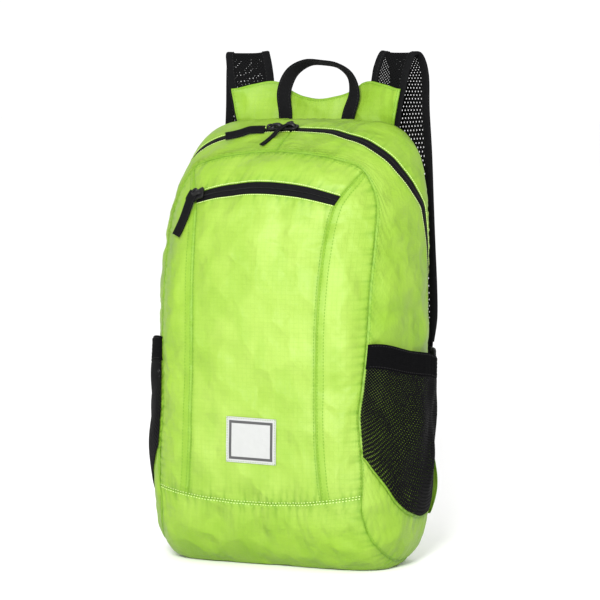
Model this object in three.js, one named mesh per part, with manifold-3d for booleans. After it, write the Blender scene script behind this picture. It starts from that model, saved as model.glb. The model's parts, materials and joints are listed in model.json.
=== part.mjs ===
import * as THREE from 'three';
import { mergeVertices } from 'three/addons/utils/BufferGeometryUtils.js';
import Module from 'manifold-3d';

// Main sizes in millimetres. The floor is z = 0 and the front of the bag faces minus y.
const BAG_HEIGHT = 456;
const CORE_HEIGHT = 200;
const REACH_UP = BAG_HEIGHT - CORE_HEIGHT;
const REACH_DOWN = CORE_HEIGHT * 1.05;
const HALF_WIDTH = 139;
const FRONT_Y = -81;
const BACK_Y = 74;
const CORNER_UP = 5.4;
const CORNER_DOWN = 6.5;

// Cloth and the seams between its pieces.
const CLOTH = 1.6;
const NET_CLOTH = 1.0;
const SEAM_GAP = 0.6;
const SIDE_GAP = 0.5;

// A table of shares times the named sizes that its columns follow.
const scaled = (rows, sizes) => rows.map((row) => {
  return Object.fromEntries(Object.entries(row).map(([key, share]) => [key, share * (sizes[key] ?? 1)]));
});

// Outline of the body against the turn round its middle, counted in degrees from straight down.
// rim: depth of the widest line as a share of BACK_Y; wide: share of HALF_WIDTH;
// front, back: how square each face is; dome: how flat the front is; seam: lean of the back seam.
const BODY_ROWS = [
  { turn: 0, rim: 0.03, front: 3.9, dome: 2.0, back: 20, wide: 1.03, seam: 60 },
  { turn: 35, rim: 0.07, front: 4.4, dome: 2.0, back: 24, wide: 1.03, seam: 60 },
  { turn: 60, rim: 0.19, front: 4.3, dome: 2.0, back: 26, wide: 1.025, seam: 61 },
  { turn: 90, rim: 0.27, front: 4.0, dome: 2.0, back: 22, wide: 1.0, seam: 61 },
  { turn: 120, rim: 0.35, front: 3.9, dome: 1.9, back: 20, wide: 1.0, seam: 60 },
  { turn: 140, rim: 0.57, front: 3.6, dome: 1.65, back: 20, wide: 1.0, seam: 52 },
  { turn: 152, rim: 0.76, front: 3.4, dome: 1.45, back: 20, wide: 1.0, seam: 46 },
  { turn: 166, rim: 0.84, front: 4.0, dome: 1.45, back: 24, wide: 1.0, seam: 42 },
  { turn: 180, rim: 0.84, front: 4.6, dome: 1.5, back: 24, wide: 1.0, seam: 42 },
];

// Lean of the seam round the front panel and of the main zip, in degrees before (-) the rim.
const FRONT_SEAM = [
  { turn: 43.28, lean: -52.4 }, { turn: 55, lean: -53 }, { turn: 68, lean: -54 }, { turn: 85, lean: -50 },
  { turn: 106, lean: -47 }, { turn: 128, lean: -45.3 }, { turn: 140, lean: -42.5 },
  { turn: 148, lean: -40 },
  { turn: 155, lean: -40 }, { turn: 163, lean: -42.4 }, { turn: 171, lean: -42.4 },
  { turn: 180, lean: -42.5 },
];
const MAIN_ZIP = [
  { turn: 112, lean: 54 }, { turn: 120, lean: 48 }, { turn: 126, lean: 42 }, { turn: 133, lean: 26 },
  { turn: 139, lean: 5 }, { turn: 145, lean: -14 }, { turn: 151, lean: -24.5 }, { turn: 158, lean: -28.5 },
  { turn: 164, lean: -28 }, { turn: 171, lean: -24.5 }, { turn: 180, lean: -24 },
];
// Turn of the upper edge of the side boots, of their seam with the base, and of the pocket band.
const BOOT_EDGE = [
  { lean: -53, turn: 54.6 }, { lean: -45, turn: 52 }, { lean: -36, turn: 49.5 }, { lean: -25, turn: 46.5 },
  { lean: -9, turn: 44.5 }, { lean: 18, turn: 43 }, { lean: 40, turn: 43 }, { lean: 62, turn: 46 },
];
const BASE_EDGE = [
  { lean: -53, turn: 43.28 }, { lean: -50, turn: 39.6 }, { lean: -42, turn: 36.3 }, { lean: -34, turn: 35 },
  { lean: 0, turn: 33 }, { lean: 62, turn: 32 },
];
const BAND_LOW = [
  { lean: -53, turn: 94.4 }, { lean: -20, turn: 90 }, { lean: 31, turn: 86 }, { lean: 62, turn: 85 },
];
const BAND_HIGH = [
  { lean: -53, turn: 105.8 }, { lean: -20, turn: 100 }, { lean: 31, turn: 95.5 }, { lean: 62, turn: 94 },
];

// Front panel: stitch line beside the middle, both edges of the front zip and the base seam.
const STITCH_LINE = scaled([
  { up: 0.1447, out: 0.5468 }, { up: 0.2083, out: 0.5252 }, { up: 0.307, out: 0.5036 },
  { up: 0.5044, out: 0.4964 },
  { up: 0.6579, out: 0.5108 }, { up: 0.7456, out: 0.5288 }, { up: 0.8048, out: 0.5504 },
  { up: 0.8355, out: 0.5899 },
  { up: 0.8575, out: 0.6295 }, { up: 0.8794, out: 0.6662 },
], { up: BAG_HEIGHT, out: HALF_WIDTH });
const FRONT_ZIP_DROP = 61.5;
const FRONT_ZIP_TOP = BAG_HEIGHT - FRONT_ZIP_DROP;
const FRONT_ZIP_WIDTH = 12;
const FRONT_ZIP_SAG = 14;
const FRONT_ZIP_HALF = 82;
const BASE_SEAM_MID = 69;
const BASE_SEAM_RISE = 11;
const BASE_SEAM_HALF = 113;
const ZIP_TAPE_WIDTH = 11;
const ZIP_TAPE_THICK = 1.2;
const ZIP_END_RISE = 1.5;

// Soft folds: place (across, up), half length, half width, turn of the length, height.
const FRONT_FOLDS = scaled([
  { across: -0.705, up: 0.6579, long: 0.1974, wide: 0.0285, tilt: 88, high: 0.0053 },
  { across: 0.6906, up: 0.5482, long: 0.2412, wide: 0.0263, tilt: 91, high: 0.0057 },
  { across: 0.6331, up: 0.7719, long: 0.0746, wide: 0.0263, tilt: 62, high: 0.0057 },
  { across: 0.1439, up: 0.8947, long: 0.1535, wide: 0.0197, tilt: 3, high: 0.0048 },
  { across: -0.2878, up: 0.8026, long: 0.0789, wide: 0.0219, tilt: 70, high: -0.0044 },
  { across: 0.2158, up: 0.7566, long: 0.0921, wide: 0.0263, tilt: 100, high: -0.0035 },
  { across: -0.4317, up: 0.114, long: 0.057, wide: 0.0241, tilt: 84, high: 0.0044 },
  { across: -0.1583, up: 0.1096, long: 0.0526, wide: 0.0219, tilt: 92, high: 0.0048 },
  { across: 0.1295, up: 0.1096, long: 0.0526, wide: 0.0219, tilt: 86, high: 0.0044 },
  { across: 0.4173, up: 0.1184, long: 0.0614, wide: 0.0241, tilt: 96, high: 0.0053 },
  { across: 0.7482, up: 0.2632, long: 0.1009, wide: 0.0263, tilt: 118, high: 0.0057 },
  { across: -0.6475, up: 0.2851, long: 0.0877, wide: 0.0285, tilt: 66, high: 0.0044 },
], { across: HALF_WIDTH, up: BAG_HEIGHT, long: BAG_HEIGHT, wide: BAG_HEIGHT, high: BAG_HEIGHT });
const SIDE_FOLDS = scaled([
  { across: -0.2432, up: 0.7061, long: 0.1535, wide: 0.0351, tilt: 78, high: 0.0066 },
  { across: 0.4054, up: 0.5877, long: 0.1053, wide: 0.0307, tilt: 104, high: 0.007 },
  { across: 0.0541, up: 0.5482, long: 0.0789, wide: 0.0241, tilt: 82, high: -0.0057 },
  { across: -0.1081, up: 0.3289, long: 0.1184, wide: 0.0329, tilt: 64, high: 0.0057 },
  { across: 0.4595, up: 0.2632, long: 0.0965, wide: 0.0307, tilt: 100, high: 0.0048 },
], { across: BACK_Y, up: BAG_HEIGHT, long: BAG_HEIGHT, wide: BAG_HEIGHT, high: BAG_HEIGHT });

// Straps, yoke and haul loop.
const STRAP_WIDTH = 50;
const STRAP_EDGE = 8;
const STRAP_THICK = 3.2;
const STRAP_RIM = 4.6;
const HALF_YOKE = 97;
const YOKE_THICK = 2;
const LOOP_WIDTH = 15;
const LOOP_THICK = 1.8;
const LOOP_FOOT = 34.5;
const WEB_WIDTH = 20;
const WEB_THICK = 1.8;
const STRAP_CLEAR = 0.4;

// Path of the right strap: middle of the band and the direction of its width in plan.
const STRAP_PATH = scaled([
  { x: 0.518, behind: 0.0123, z: 0.9803, aim: -1, wide: 0.88 },
  { x: 0.5396, behind: 0.016, z: 1.0307, aim: -11, wide: 0.92 },
  { x: 0.5683, behind: 0.0232, z: 1.0789, aim: -18, wide: 0.98 },
  { x: 0.5899, behind: 0.0263, z: 1.1162, aim: -17, wide: 0.98 },
  { x: 0.6223, behind: 0.0373, z: 1.1469, aim: -13, wide: 0.94 },
  { x: 0.6475, behind: 0.0581, z: 1.1425, aim: -11, wide: 0.94 },
  { x: 0.6691, behind: 0.0713, z: 1.1009, aim: -12, wide: 0.98 },
  { x: 0.6727, behind: 0.0746, z: 1.0197, aim: -14, wide: 1 },
  { x: 0.6906, behind: 0.0768, z: 0.9211, aim: -14, wide: 1 },
  { x: 0.705, behind: 0.0768, z: 0.8158, aim: -14, wide: 1 },
  { x: 0.7194, behind: 0.0768, z: 0.7127, aim: -12, wide: 0.98 },
  { x: 0.741, behind: 0.0724, z: 0.614, aim: -10, wide: 0.96 },
  { x: 0.7698, behind: 0.0658, z: 0.5395, aim: -8, wide: 0.84 },
  { x: 0.7986, behind: 0.0592, z: 0.4868, aim: -6, wide: 0.56 },
], { x: HALF_WIDTH, behind: BAG_HEIGHT, z: BAG_HEIGHT });
// Path of the right webbing from the corner tab up to its buckle.
const WEB_RISE = scaled([
  { x: 0.8669, behind: 0.0162, z: 0.2127 }, { x: 0.8597, behind: 0.0219, z: 0.25 },
  { x: 0.8417, behind: 0.0329, z: 0.307 }, { x: 0.8201, behind: 0.0439, z: 0.364 },
], { x: HALF_WIDTH, behind: BAG_HEIGHT, z: BAG_HEIGHT });
// Its turn over the middle bar of the buckle and the free end, from the buckle's middle, in buckle heights.
const WEB_TURN = [
  { back: -0.12, up: -0.5333 }, { back: -0.12, up: -0.1667 }, { back: -0.1167, up: 0.0133 },
  { back: -0.09, up: 0.1067 },
  { back: 0, up: 0.1533 }, { back: 0.09, up: 0.1067 }, { back: 0.1167, up: 0.0133 },
  { back: 0.1233, up: -0.2 },
  { back: 0.1467, up: -0.6667 }, { back: 0.2, up: -1.4 }, { back: 0.22, up: -2.4 },
];

// Small helpers for rows, points and cloth.
const rad = (d) => (d * Math.PI) / 180;
const mix = (a, b, t) => a + (b - a) * t;
const clamp = (v, lo, hi) => Math.min(hi, Math.max(lo, v));

function fromRows(rows, by, key, at) {
  const n = rows.length;
  const x = rows.map((r) => r[by]);
  const y = rows.map((r) => r[key]);
  const v = clamp(at, x[0], x[n - 1]);
  let i = 0;
  while (i < n - 2 && v > x[i + 1]) i += 1;
  const slope = (k) => (y[k + 1] - y[k]) / (x[k + 1] - x[k]);
  const tangent = (k) => {
    if (k === 0 || k === n - 1) return 0;
    const before = slope(k - 1);
    const after = slope(k);
    return before * after <= 0 ? 0 : (2 * before * after) / (before + after);
  };
  const width = x[i + 1] - x[i];
  const t = (v - x[i]) / width;
  const t2 = t * t;
  const t3 = t2 * t;
  const start = (2 * t3 - 3 * t2 + 1) * y[i] + (t3 - 2 * t2 + t) * width * tangent(i);
  return start + (3 * t2 - 2 * t3) * y[i + 1] + (t3 - t2) * width * tangent(i + 1);
}

const foldTurn = (turn) => (Math.acos(clamp(Math.cos(rad(turn)), -1, 1)) * 180) / Math.PI;
const bodyRow = (turn, key) => fromRows(BODY_ROWS, 'turn', key, foldTurn(turn));

function rimReach(turn) {
  const across = Math.abs(Math.sin(rad(turn)));
  const up = -Math.cos(rad(turn));
  const reach = up > 0 ? REACH_UP : REACH_DOWN;
  const power = up > 0 ? CORNER_UP : CORNER_DOWN;
  const half = HALF_WIDTH * bodyRow(turn, 'wide');
  return ((across / half) ** power + (Math.abs(up) / reach) ** power) ** (-1 / power);
}

// Point of the plain body: turn round the middle, lean from the front (-90) to the back (90).
function plainPoint(turn, lean) {
  const rim = BACK_Y * bodyRow(turn, 'rim');
  const front = lean < 0;
  const reach = Math.cos(rad(lean)) ** (2 / bodyRow(turn, front ? 'front' : 'back'));
  const depth = Math.abs(Math.sin(rad(lean))) ** (front ? 2 / bodyRow(turn, 'dome') : 1);
  const r = rimReach(turn) * reach;
  const y = mix(rim, front ? FRONT_Y : BACK_Y, depth);
  return new THREE.Vector3(r * Math.sin(rad(turn)), y, Math.max(CORE_HEIGHT - r * Math.cos(rad(turn)), 0));
}

function frontDepth(x, z) {
  const turn = (Math.atan2(x, CORE_HEIGHT - z) * 180) / Math.PI;
  const share = Math.hypot(x, z - CORE_HEIGHT) / rimReach(turn);
  const depth = Math.max(1 - share ** bodyRow(turn, 'front'), 0) ** (1 / bodyRow(turn, 'dome'));
  return mix(BACK_Y * bodyRow(turn, 'rim'), FRONT_Y, depth);
}

function foldHeight(p, n) {
  let sum = 0;
  const faces = [[FRONT_FOLDS, clamp(-n.y, 0, 1), p.x], [SIDE_FOLDS, clamp(Math.abs(n.x), 0, 1), p.y]];
  for (const [folds, facing, across] of faces) {
    for (const f of facing > 0.05 ? folds : []) {
      const a = across - f.across;
      const b = p.z - f.up;
      const along = (a * Math.cos(rad(f.tilt)) + b * Math.sin(rad(f.tilt))) / f.long;
      const cross = (b * Math.cos(rad(f.tilt)) - a * Math.sin(rad(f.tilt))) / f.wide;
      sum += f.high * facing * facing * Math.exp(-along * along - cross * cross);
    }
  }
  return sum * clamp(p.z / 12, 0, 1);
}

function settle(p, n, out) {
  return { p: p.clone().addScaledVector(n, foldHeight(p, n) + out), n };
}

function wrap(turn, lean, out = 0) {
  const p = plainPoint(turn, lean);
  const a = plainPoint(turn + 0.4, lean).sub(plainPoint(turn - 0.4, lean));
  const b = plainPoint(turn, lean + 0.3).sub(plainPoint(turn, lean - 0.3));
  return settle(p, b.cross(a).normalize(), out);
}

function onFront(x, z, out = 0) {
  const step = 0.5;
  const slopeX = (frontDepth(x + step, z) - frontDepth(x - step, z)) / (2 * step);
  const slopeZ = (frontDepth(x, z + step) - frontDepth(x, z - step)) / (2 * step);
  const n = new THREE.Vector3(slopeX, -1, slopeZ).normalize();
  return settle(new THREE.Vector3(x, frontDepth(x, z), z), n, out);
}

// Colours of the cloths and the trim.
const LOOKS = {
  lime: [0.6, 0.86, 0.2, 0.75], black: [0.03, 0.03, 0.032, 0.7], net: [0.045, 0.045, 0.05, 0.85],
  zip: [0.05, 0.05, 0.055, 0.45], plastic: [0.02, 0.02, 0.022, 0.4], pale: [0.92, 0.92, 0.9, 0.6],
};
const bag = new THREE.Group();
bag.name = 'packable_backpack';

function addSolid(name, look, points, faces) {
  const flat = [];
  points.forEach((p) => flat.push(p.x, p.y, p.z));
  let volume = 0;
  for (const [i, j, k] of faces) volume += points[i].dot(points[j].clone().cross(points[k]));
  const index = [];
  faces.forEach(([i, j, k]) => (volume < 0 ? index.push(i, k, j) : index.push(i, j, k)));
  const shape = new THREE.BufferGeometry();
  shape.setAttribute('position', new THREE.Float32BufferAttribute(flat, 3));
  shape.setIndex(index);
  shape.computeVertexNormals();
  const [r, g, b, rough] = LOOKS[look];
  const cloth = new THREE.MeshStandardMaterial({ color: new THREE.Color(r, g, b), roughness: rough });
  cloth.name = name;
  const mesh = new THREE.Mesh(shape, cloth);
  mesh.name = name;
  bag.add(mesh);
  return mesh;
}

function closeLoops(points, faces, ring, count) {
  for (let k = 0; k < count; k += 1) {
    const [a, b] = ring[k];
    const [c, d] = ring[(k + 1) % count];
    faces.push([a, c, d], [a, d, b]);
  }
}

// A thick sheet over a grid of places; at(u, v) gives its outer point and normal.
function sheet(name, look, us, vs, at, thick = CLOTH, gap = SEAM_GAP) {
  const outer = us.map((u) => vs.map((v) => at(u, v)));
  const layers = [outer.map((c) => c.map((s) => s.p.clone()))];
  layers.push(outer.map((c) => c.map((s) => s.p.clone().addScaledVector(s.n, -thick))));
  const nu = us.length - 1;
  const nv = vs.length - 1;
  for (const g of layers) {
    const pull = (p, to) => p.addScaledVector(to.clone().sub(p).normalize(), gap / 2);
    for (let j = 0; j <= nv; j += 1) {
      pull(g[0][j], g[1][j]);
      pull(g[nu][j], g[nu - 1][j]);
    }
    for (let i = 0; i <= nu; i += 1) {
      pull(g[i][0], g[i][1]);
      pull(g[i][nv], g[i][nv - 1]);
    }
  }
  const points = [];
  const id = (layer, i, j) => (layer * (nu + 1) + i) * (nv + 1) + j;
  layers.forEach((g) => g.forEach((c) => c.forEach((p) => points.push(p))));
  const faces = [];
  for (let i = 0; i < nu; i += 1) {
    for (let j = 0; j < nv; j += 1) {
      const [a, b, c, d] = [id(0, i, j), id(0, i + 1, j), id(0, i + 1, j + 1), id(0, i, j + 1)];
      const [e, f, g, h] = [id(1, i, j), id(1, i + 1, j), id(1, i + 1, j + 1), id(1, i, j + 1)];
      faces.push([a, b, c], [a, c, d], [e, g, f], [e, h, g]);
    }
  }
  const ring = [];
  for (let i = 0; i < nu; i += 1) ring.push([id(0, i, 0), id(1, i, 0)]);
  for (let j = 0; j < nv; j += 1) ring.push([id(0, nu, j), id(1, nu, j)]);
  for (let i = nu; i > 0; i -= 1) ring.push([id(0, i, nv), id(1, i, nv)]);
  for (let j = nv; j > 0; j -= 1) ring.push([id(0, 0, j), id(1, 0, j)]);
  closeLoops(points, faces, ring.reverse(), ring.length);
  return addSolid(name, look, points, faces);
}

const steps = (a, b, n) => Array.from({ length: n + 1 }, (_, k) => mix(a, b, k / n));

// Seams shared by neighbouring pieces, at the same turns on both sides.
function leanOf(x, z) {
  const turn = (Math.atan2(x, CORE_HEIGHT - z) * 180) / Math.PI;
  const share = Math.hypot(x, z - CORE_HEIGHT) / rimReach(turn);
  return { turn, lean: (-Math.acos(share ** (bodyRow(turn, 'front') / 2)) * 180) / Math.PI };
}
const frontLean = (turn) => fromRows(FRONT_SEAM, 'turn', 'lean', foldTurn(turn));
const backLean = (turn) => bodyRow(turn, 'seam');
const zipLean = (turn) => fromRows(MAIN_ZIP, 'turn', 'lean', foldTurn(turn));
const stitchOut = (up) => fromRows(STITCH_LINE, 'up', 'out', up);
const baseSeamUp = (x) => BASE_SEAM_MID + BASE_SEAM_RISE * (x / BASE_SEAM_HALF) ** 2;
const zipTopUp = (x) => FRONT_ZIP_TOP - FRONT_ZIP_SAG * (x / FRONT_ZIP_HALF) ** 2;
const zipLowUp = (x) => zipTopUp(x) - FRONT_ZIP_WIDTH + ZIP_END_RISE * (x / FRONT_ZIP_HALF) ** 2;

// The front seam and the boot seam start where the base seam ends.
const BASE_END = leanOf(BASE_SEAM_HALF, baseSeamUp(BASE_SEAM_HALF));
const FIRST_TURN = BASE_END.turn;
Object.assign(FRONT_SEAM[0], BASE_END);
BASE_EDGE[0].turn = FIRST_TURN;

const CORNER_TURN = 155;
const CORNER_CLEAR = 0.5;
const ZIP_END_TURN = 121;
const BOOT_TURNS = [FIRST_TURN, 49, 54.6];
const SIDE_TURNS = [54.6, 63, 73, 84, 95, 106, 114, 119];
const UPPER_TURNS = [121, 128, 134, 139, 143, 147, 151, 155];
const TOP_TURNS = [155, 160, 166, 173, 180];
const LAST_BOOT_TURN = 54.6;

// Side to side the turns slide a little, so that the boot edge stays its own line.
function slide(turn, u) {
  const edge = fromRows(BOOT_EDGE, 'lean', 'turn', mix(-53, 61, u));
  return edge + ((turn - LAST_BOOT_TURN) * (180 - edge)) / (180 - LAST_BOOT_TURN);
}

function leanSpan(turn, from, to, u, out = 0, side = 1) {
  const s = wrap(turn, mix(from(turn), to(turn), u), out);
  if (side < 0) {
    s.p.x *= -1;
    s.n = s.n.clone();
    s.n.x *= -1;
  }
  return s;
}

function halfTape(turn) {
  const reach = plainPoint(turn, zipLean(turn) + 2).distanceTo(plainPoint(turn, zipLean(turn) - 2));
  return (ZIP_TAPE_WIDTH / 2 / reach) * 4;
}
const zipLower = (turn) => zipLean(turn) - halfTape(turn);
const zipUpper = (turn) => Math.min(zipLean(turn) + halfTape(turn), backLean(turn) - 3);

// Front panel: middle, cap above the front zip, and a strip down each side.
const CENTRE_STEPS = steps(-1, 1, 10);
sheet('front_centre_panel', 'lime', CENTRE_STEPS, steps(0, 1, 17), (s, t) => {
  let x = 72 * s;
  let z = 200;
  for (let k = 0; k < 5; k += 1) {
    z = mix(baseSeamUp(x), zipLowUp(x), t);
    x = stitchOut(z) * s;
  }
  return onFront(x, z);
});
const CAP_TURNS = [...TOP_TURNS, ...TOP_TURNS.slice(0, -1).reverse().map((t) => 360 - t)];
sheet('front_cap_panel', 'lime', CAP_TURNS.map((_, k) => k), steps(0, 1, 2), (k, t) => {
  const turn = CAP_TURNS[k];
  const top = plainPoint(turn, frontLean(turn));
  const corner = plainPoint(CORNER_TURN, frontLean(CORNER_TURN));
  const x = FRONT_ZIP_HALF * (1 - (2 * k) / (CAP_TURNS.length - 1));
  const edge = stitchOut(mix(zipTopUp(FRONT_ZIP_HALF), corner.z, t)) / mix(FRONT_ZIP_HALF, corner.x, t);
  return onFront(mix(x, top.x, t) * edge, mix(zipTopUp(x), top.z, t));
});
const STRIP_TURNS = [...BOOT_TURNS.slice(0, -1), ...SIDE_TURNS, ...UPPER_TURNS];
for (const [side, word] of [[-1, 'left'], [1, 'right']]) {
  sheet(`front_side_strip_${word}`, 'lime', steps(0, 1, 3), STRIP_TURNS, (s, turn) => {
    const outer = plainPoint(turn, frontLean(turn));
    const share = (turn - STRIP_TURNS[0]) / (CORNER_TURN - STRIP_TURNS[0]);
    const last = plainPoint(CORNER_TURN, frontLean(CORNER_TURN)).z;
    const first = plainPoint(FIRST_TURN, frontLean(FIRST_TURN)).z;
    const low = baseSeamUp(stitchOut(BASE_SEAM_MID));
    const zIn = mix(low, last - 5, clamp((outer.z - first) / (last - first), 0, 1));
    const xIn = stitchOut(zIn) + CORNER_CLEAR * clamp((zIn - BAG_HEIGHT * 0.8158) / 8, 0, 1);
    const x = mix(xIn, outer.x, s);
    const even = mix(baseSeamUp(xIn), baseSeamUp(outer.x), s);
    const z = mix(zIn, outer.z, s) + (baseSeamUp(x) - even) * (1 - clamp(share, 0, 1)) ** 4;
    return onFront(x * side, z);
  });
}

// Front zip between the cap and the middle, set a little back.
const ZIP_INSET = 0.5;
const END_CLEAR = 0.6;
sheet('front_zip_tape', 'zip', steps(-1, 1, 12), [0, 1], (s, t) => {
  let x = FRONT_ZIP_HALF * s;
  let z = FRONT_ZIP_TOP;
  for (let k = 0; k < 4; k += 1) {
    z = mix(zipLowUp(x) + 0.2, zipTopUp(x) - 0.2, t);
    x = (stitchOut(z) - END_CLEAR) * s;
  }
  return onFront(x, z, -ZIP_INSET);
}, ZIP_TAPE_THICK, SEAM_GAP);

// Gussets from the side boots up to the seam at the top, with the main zip behind them.
const GUSSET_STEPS = [0, 0.07, 0.15, 0.25, 0.37, 0.5, 0.64, 0.78, 0.9, 1];
const GUSSET_TURNS = [...SIDE_TURNS, ...UPPER_TURNS, ...TOP_TURNS.slice(1)];
for (const [side, word] of [[-1, 'left'], [1, 'right']]) {
  sheet(`side_gusset_${word}`, 'lime', GUSSET_STEPS, GUSSET_TURNS, (u, turn) => {
    const at = slide(turn, u);
    const edge = turn < ZIP_END_TURN ? backLean : zipLower;
    return leanSpan(at, frontLean, edge, u, 0, side);
  });
}
const REAR_TURNS = [...UPPER_TURNS, ...TOP_TURNS.slice(1)];
const AROUND = [...REAR_TURNS, ...REAR_TURNS.slice(0, -1).reverse().map((t) => 360 - t)];
const around = (turn, u) => (turn > 180 ? 360 - slide(360 - turn, u) : slide(turn, u));
sheet('rear_gusset', 'lime', AROUND, steps(0, 1, 2), (turn, u) => {
  const lead = turn === AROUND[0] ? 0.4 : turn === AROUND[AROUND.length - 1] ? -0.4 : 0;
  return leanSpan(around(turn, 1) + lead, zipUpper, backLean, u);
});
const TAPE_CLEAR = 0.35;
sheet('main_zip_tape', 'zip', AROUND, [0, 1], (turn, u) => {
  const at = around(turn, 1);
  const edge = (t) => mix(zipLower(t), zipUpper(t), u);
  return leanSpan(at, edge, edge, 0, -ZIP_INSET);
}, ZIP_TAPE_THICK, TAPE_CLEAR * 2 + SEAM_GAP);

// Back panel: rings round one middle point.
function ringPanel(name, look, turns, rings, at, thick) {
  const points = [];
  const faces = [];
  const n = turns.length;
  for (let layer = 0; layer < 2; layer += 1) {
    const middle = at(0, 0);
    points.push(middle.p.clone().addScaledVector(middle.n, -thick * layer));
    for (const r of rings) {
      for (const turn of turns) {
        const s = at(turn, r);
        points.push(s.p.clone().addScaledVector(s.n, -thick * layer));
      }
    }
  }
  const base = 1 + rings.length * n;
  for (let layer = 0; layer < 2; layer += 1) {
    const id = (r, k) => layer * base + 1 + r * n + (k % n);
    const put = (a, b, c) => (layer ? faces.push([a, c, b]) : faces.push([a, b, c]));
    for (let k = 0; k < n; k += 1) {
      put(layer * base, id(0, k + 1), id(0, k));
      for (let r = 0; r < rings.length - 1; r += 1) {
        put(id(r, k), id(r, k + 1), id(r + 1, k + 1));
        put(id(r, k), id(r + 1, k + 1), id(r + 1, k));
      }
    }
  }
  const last = 1 + (rings.length - 1) * n;
  for (let k = 0; k < n; k += 1) {
    const a = last + k;
    const b = last + ((k + 1) % n);
    faces.push([a, b, base + b], [a, base + b, base + a]);
  }
  return addSolid(name, look, points, faces);
}
const BASE_TURNS = [0, 6, 12, 18, 23, 27, 30.5, 34, 38];
const backHalf = [...BASE_TURNS, ...GUSSET_TURNS.map((t) => slide(t, 1))];
const BACK_TURNS = [...backHalf, ...backHalf.slice(1, -1).reverse().map((t) => 360 - t)];
ringPanel('back_panel', 'lime', BACK_TURNS, [0.3, 0.6, 0.82, 0.94, 1], (turn, r) => {
  const edge = plainPoint(turn, backLean(turn) + 0.3);
  const shrink = r * (1 - (SEAM_GAP * 0.64) / HALF_WIDTH);
  const x = edge.x * shrink;
  const z = mix(CORE_HEIGHT, edge.z, shrink);
  const share = Math.hypot(x, z - CORE_HEIGHT) / rimReach(turn);
  const depth = Math.max(1 - share ** bodyRow(turn, 'back'), 0) ** 0.5;
  const y = mix(BACK_Y * bodyRow(turn, 'rim'), BACK_Y, depth);
  const lean = (Math.acos(clamp(share ** (bodyRow(turn, 'back') / 2), 0, 1)) * 180) / Math.PI;
  const n = r > 0.5 ? wrap(turn, Math.min(lean, 88)).n : new THREE.Vector3(0, 1, 0);
  return { p: new THREE.Vector3(x, y, Math.max(z, 0)), n };
}, CLOTH);

// Base panel under the bag and the boots at its corners.
const baseHalf = [0, 0.1345, 0.269, 0.4035, 0.5381, 0.6726, 0.7814, 0.8912, 1].map((s) => s * BASE_SEAM_HALF);
const BASE_PLACES = [...baseHalf.slice(1).reverse().map((x) => -x), ...baseHalf];
function baseTurn(lean) {
  return fromRows(BASE_EDGE, 'lean', 'turn', lean);
}
sheet('base_panel', 'lime', BASE_PLACES, GUSSET_STEPS, (x, v) => {
  const { turn, lean: front } = leanOf(x, baseSeamUp(x));
  const lean = mix(front, backLean(turn), v);
  const sideLean = mix(-52.4, 60, v);
  return wrap((turn / FIRST_TURN) * baseTurn(sideLean), lean);
});
for (const [side, word] of [[-1, 'left'], [1, 'right']]) {
  sheet(`side_boot_${word}`, 'lime', GUSSET_STEPS, steps(0, 1, 3), (u, v) => {
    const low = baseTurn(mix(-52.4, 60, u));
    const high = fromRows(BOOT_EDGE, 'lean', 'turn', mix(-53, 61, u));
    const turn = mix(low, high, v);
    return leanSpan(turn, frontLean, backLean, u, 0, side);
  });
}

// Net pockets and their elastic bands, standing off the sides.
const POCKET_BULGE = 12;
const POCKET_STEPS = [0, 0.07, 0.16, 0.28, 0.42, 0.56, 0.7, 0.84, 0.93, 1];
const pocketLift = (u, v) => SIDE_GAP + POCKET_BULGE * Math.sin(Math.PI * clamp(u, 0, 1)) ** 0.8 * v ** 0.7;
const nearFront = (turn) => frontLean(turn) + 0.6;
const nearBack = (turn) => backLean(turn) - 1.5;
for (const [side, word] of [[-1, 'left'], [1, 'right']]) {
  const leanAt = (u) => mix(-53, 61, u);
  sheet(`mesh_pocket_${word}`, 'net', POCKET_STEPS, steps(0, 1, 8), (u, v) => {
    const low = fromRows(BOOT_EDGE, 'lean', 'turn', leanAt(u)) + 0.5;
    const high = fromRows(BAND_LOW, 'lean', 'turn', leanAt(u));
    return leanSpan(mix(low, high, v), nearFront, nearBack, u, NET_CLOTH + pocketLift(u, v), side);
  }, NET_CLOTH);
  sheet(`pocket_elastic_${word}`, 'black', POCKET_STEPS, [0, 0.5, 1], (u, v) => {
    const low = fromRows(BAND_LOW, 'lean', 'turn', leanAt(u));
    const high = fromRows(BAND_HIGH, 'lean', 'turn', leanAt(u));
    const lift = CLOTH + pocketLift(u, 1) - 0.8 * v * Math.sin(Math.PI * u);
    return leanSpan(mix(low, high, v), nearFront, nearBack, u, lift, side);
  }, CLOTH);
}

// Bands swept along a path; each row of the path states its own frame.
function band(name, look, frames, outline) {
  const points = [];
  const faces = [];
  const n = outline(0).length;
  frames.forEach((f, k) => {
    outline(k).forEach(([a, b]) => points.push(f.at.clone().addScaledVector(f.wide, a).addScaledVector(f.thick, b)));
  });
  for (let k = 0; k < frames.length - 1; k += 1) {
    for (let i = 0; i < n; i += 1) {
      const a = k * n + i;
      const b = k * n + ((i + 1) % n);
      faces.push([a, b, b + n], [a, b + n, a + n]);
    }
  }
  const cap = (start, flip) => {
    const half = n / 2;
    for (let i = 0; i < half - 1; i += 1) {
      const [a, b, c, d] = [start + i, start + i + 1, start + n - 2 - i, start + n - 1 - i];
      faces.push(flip ? [a, b, c] : [a, c, b], flip ? [a, c, d] : [a, d, c]);
    }
  };
  cap(0, false);
  cap((frames.length - 1) * n, true);
  return addSolid(name, look, points, faces);
}

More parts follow.
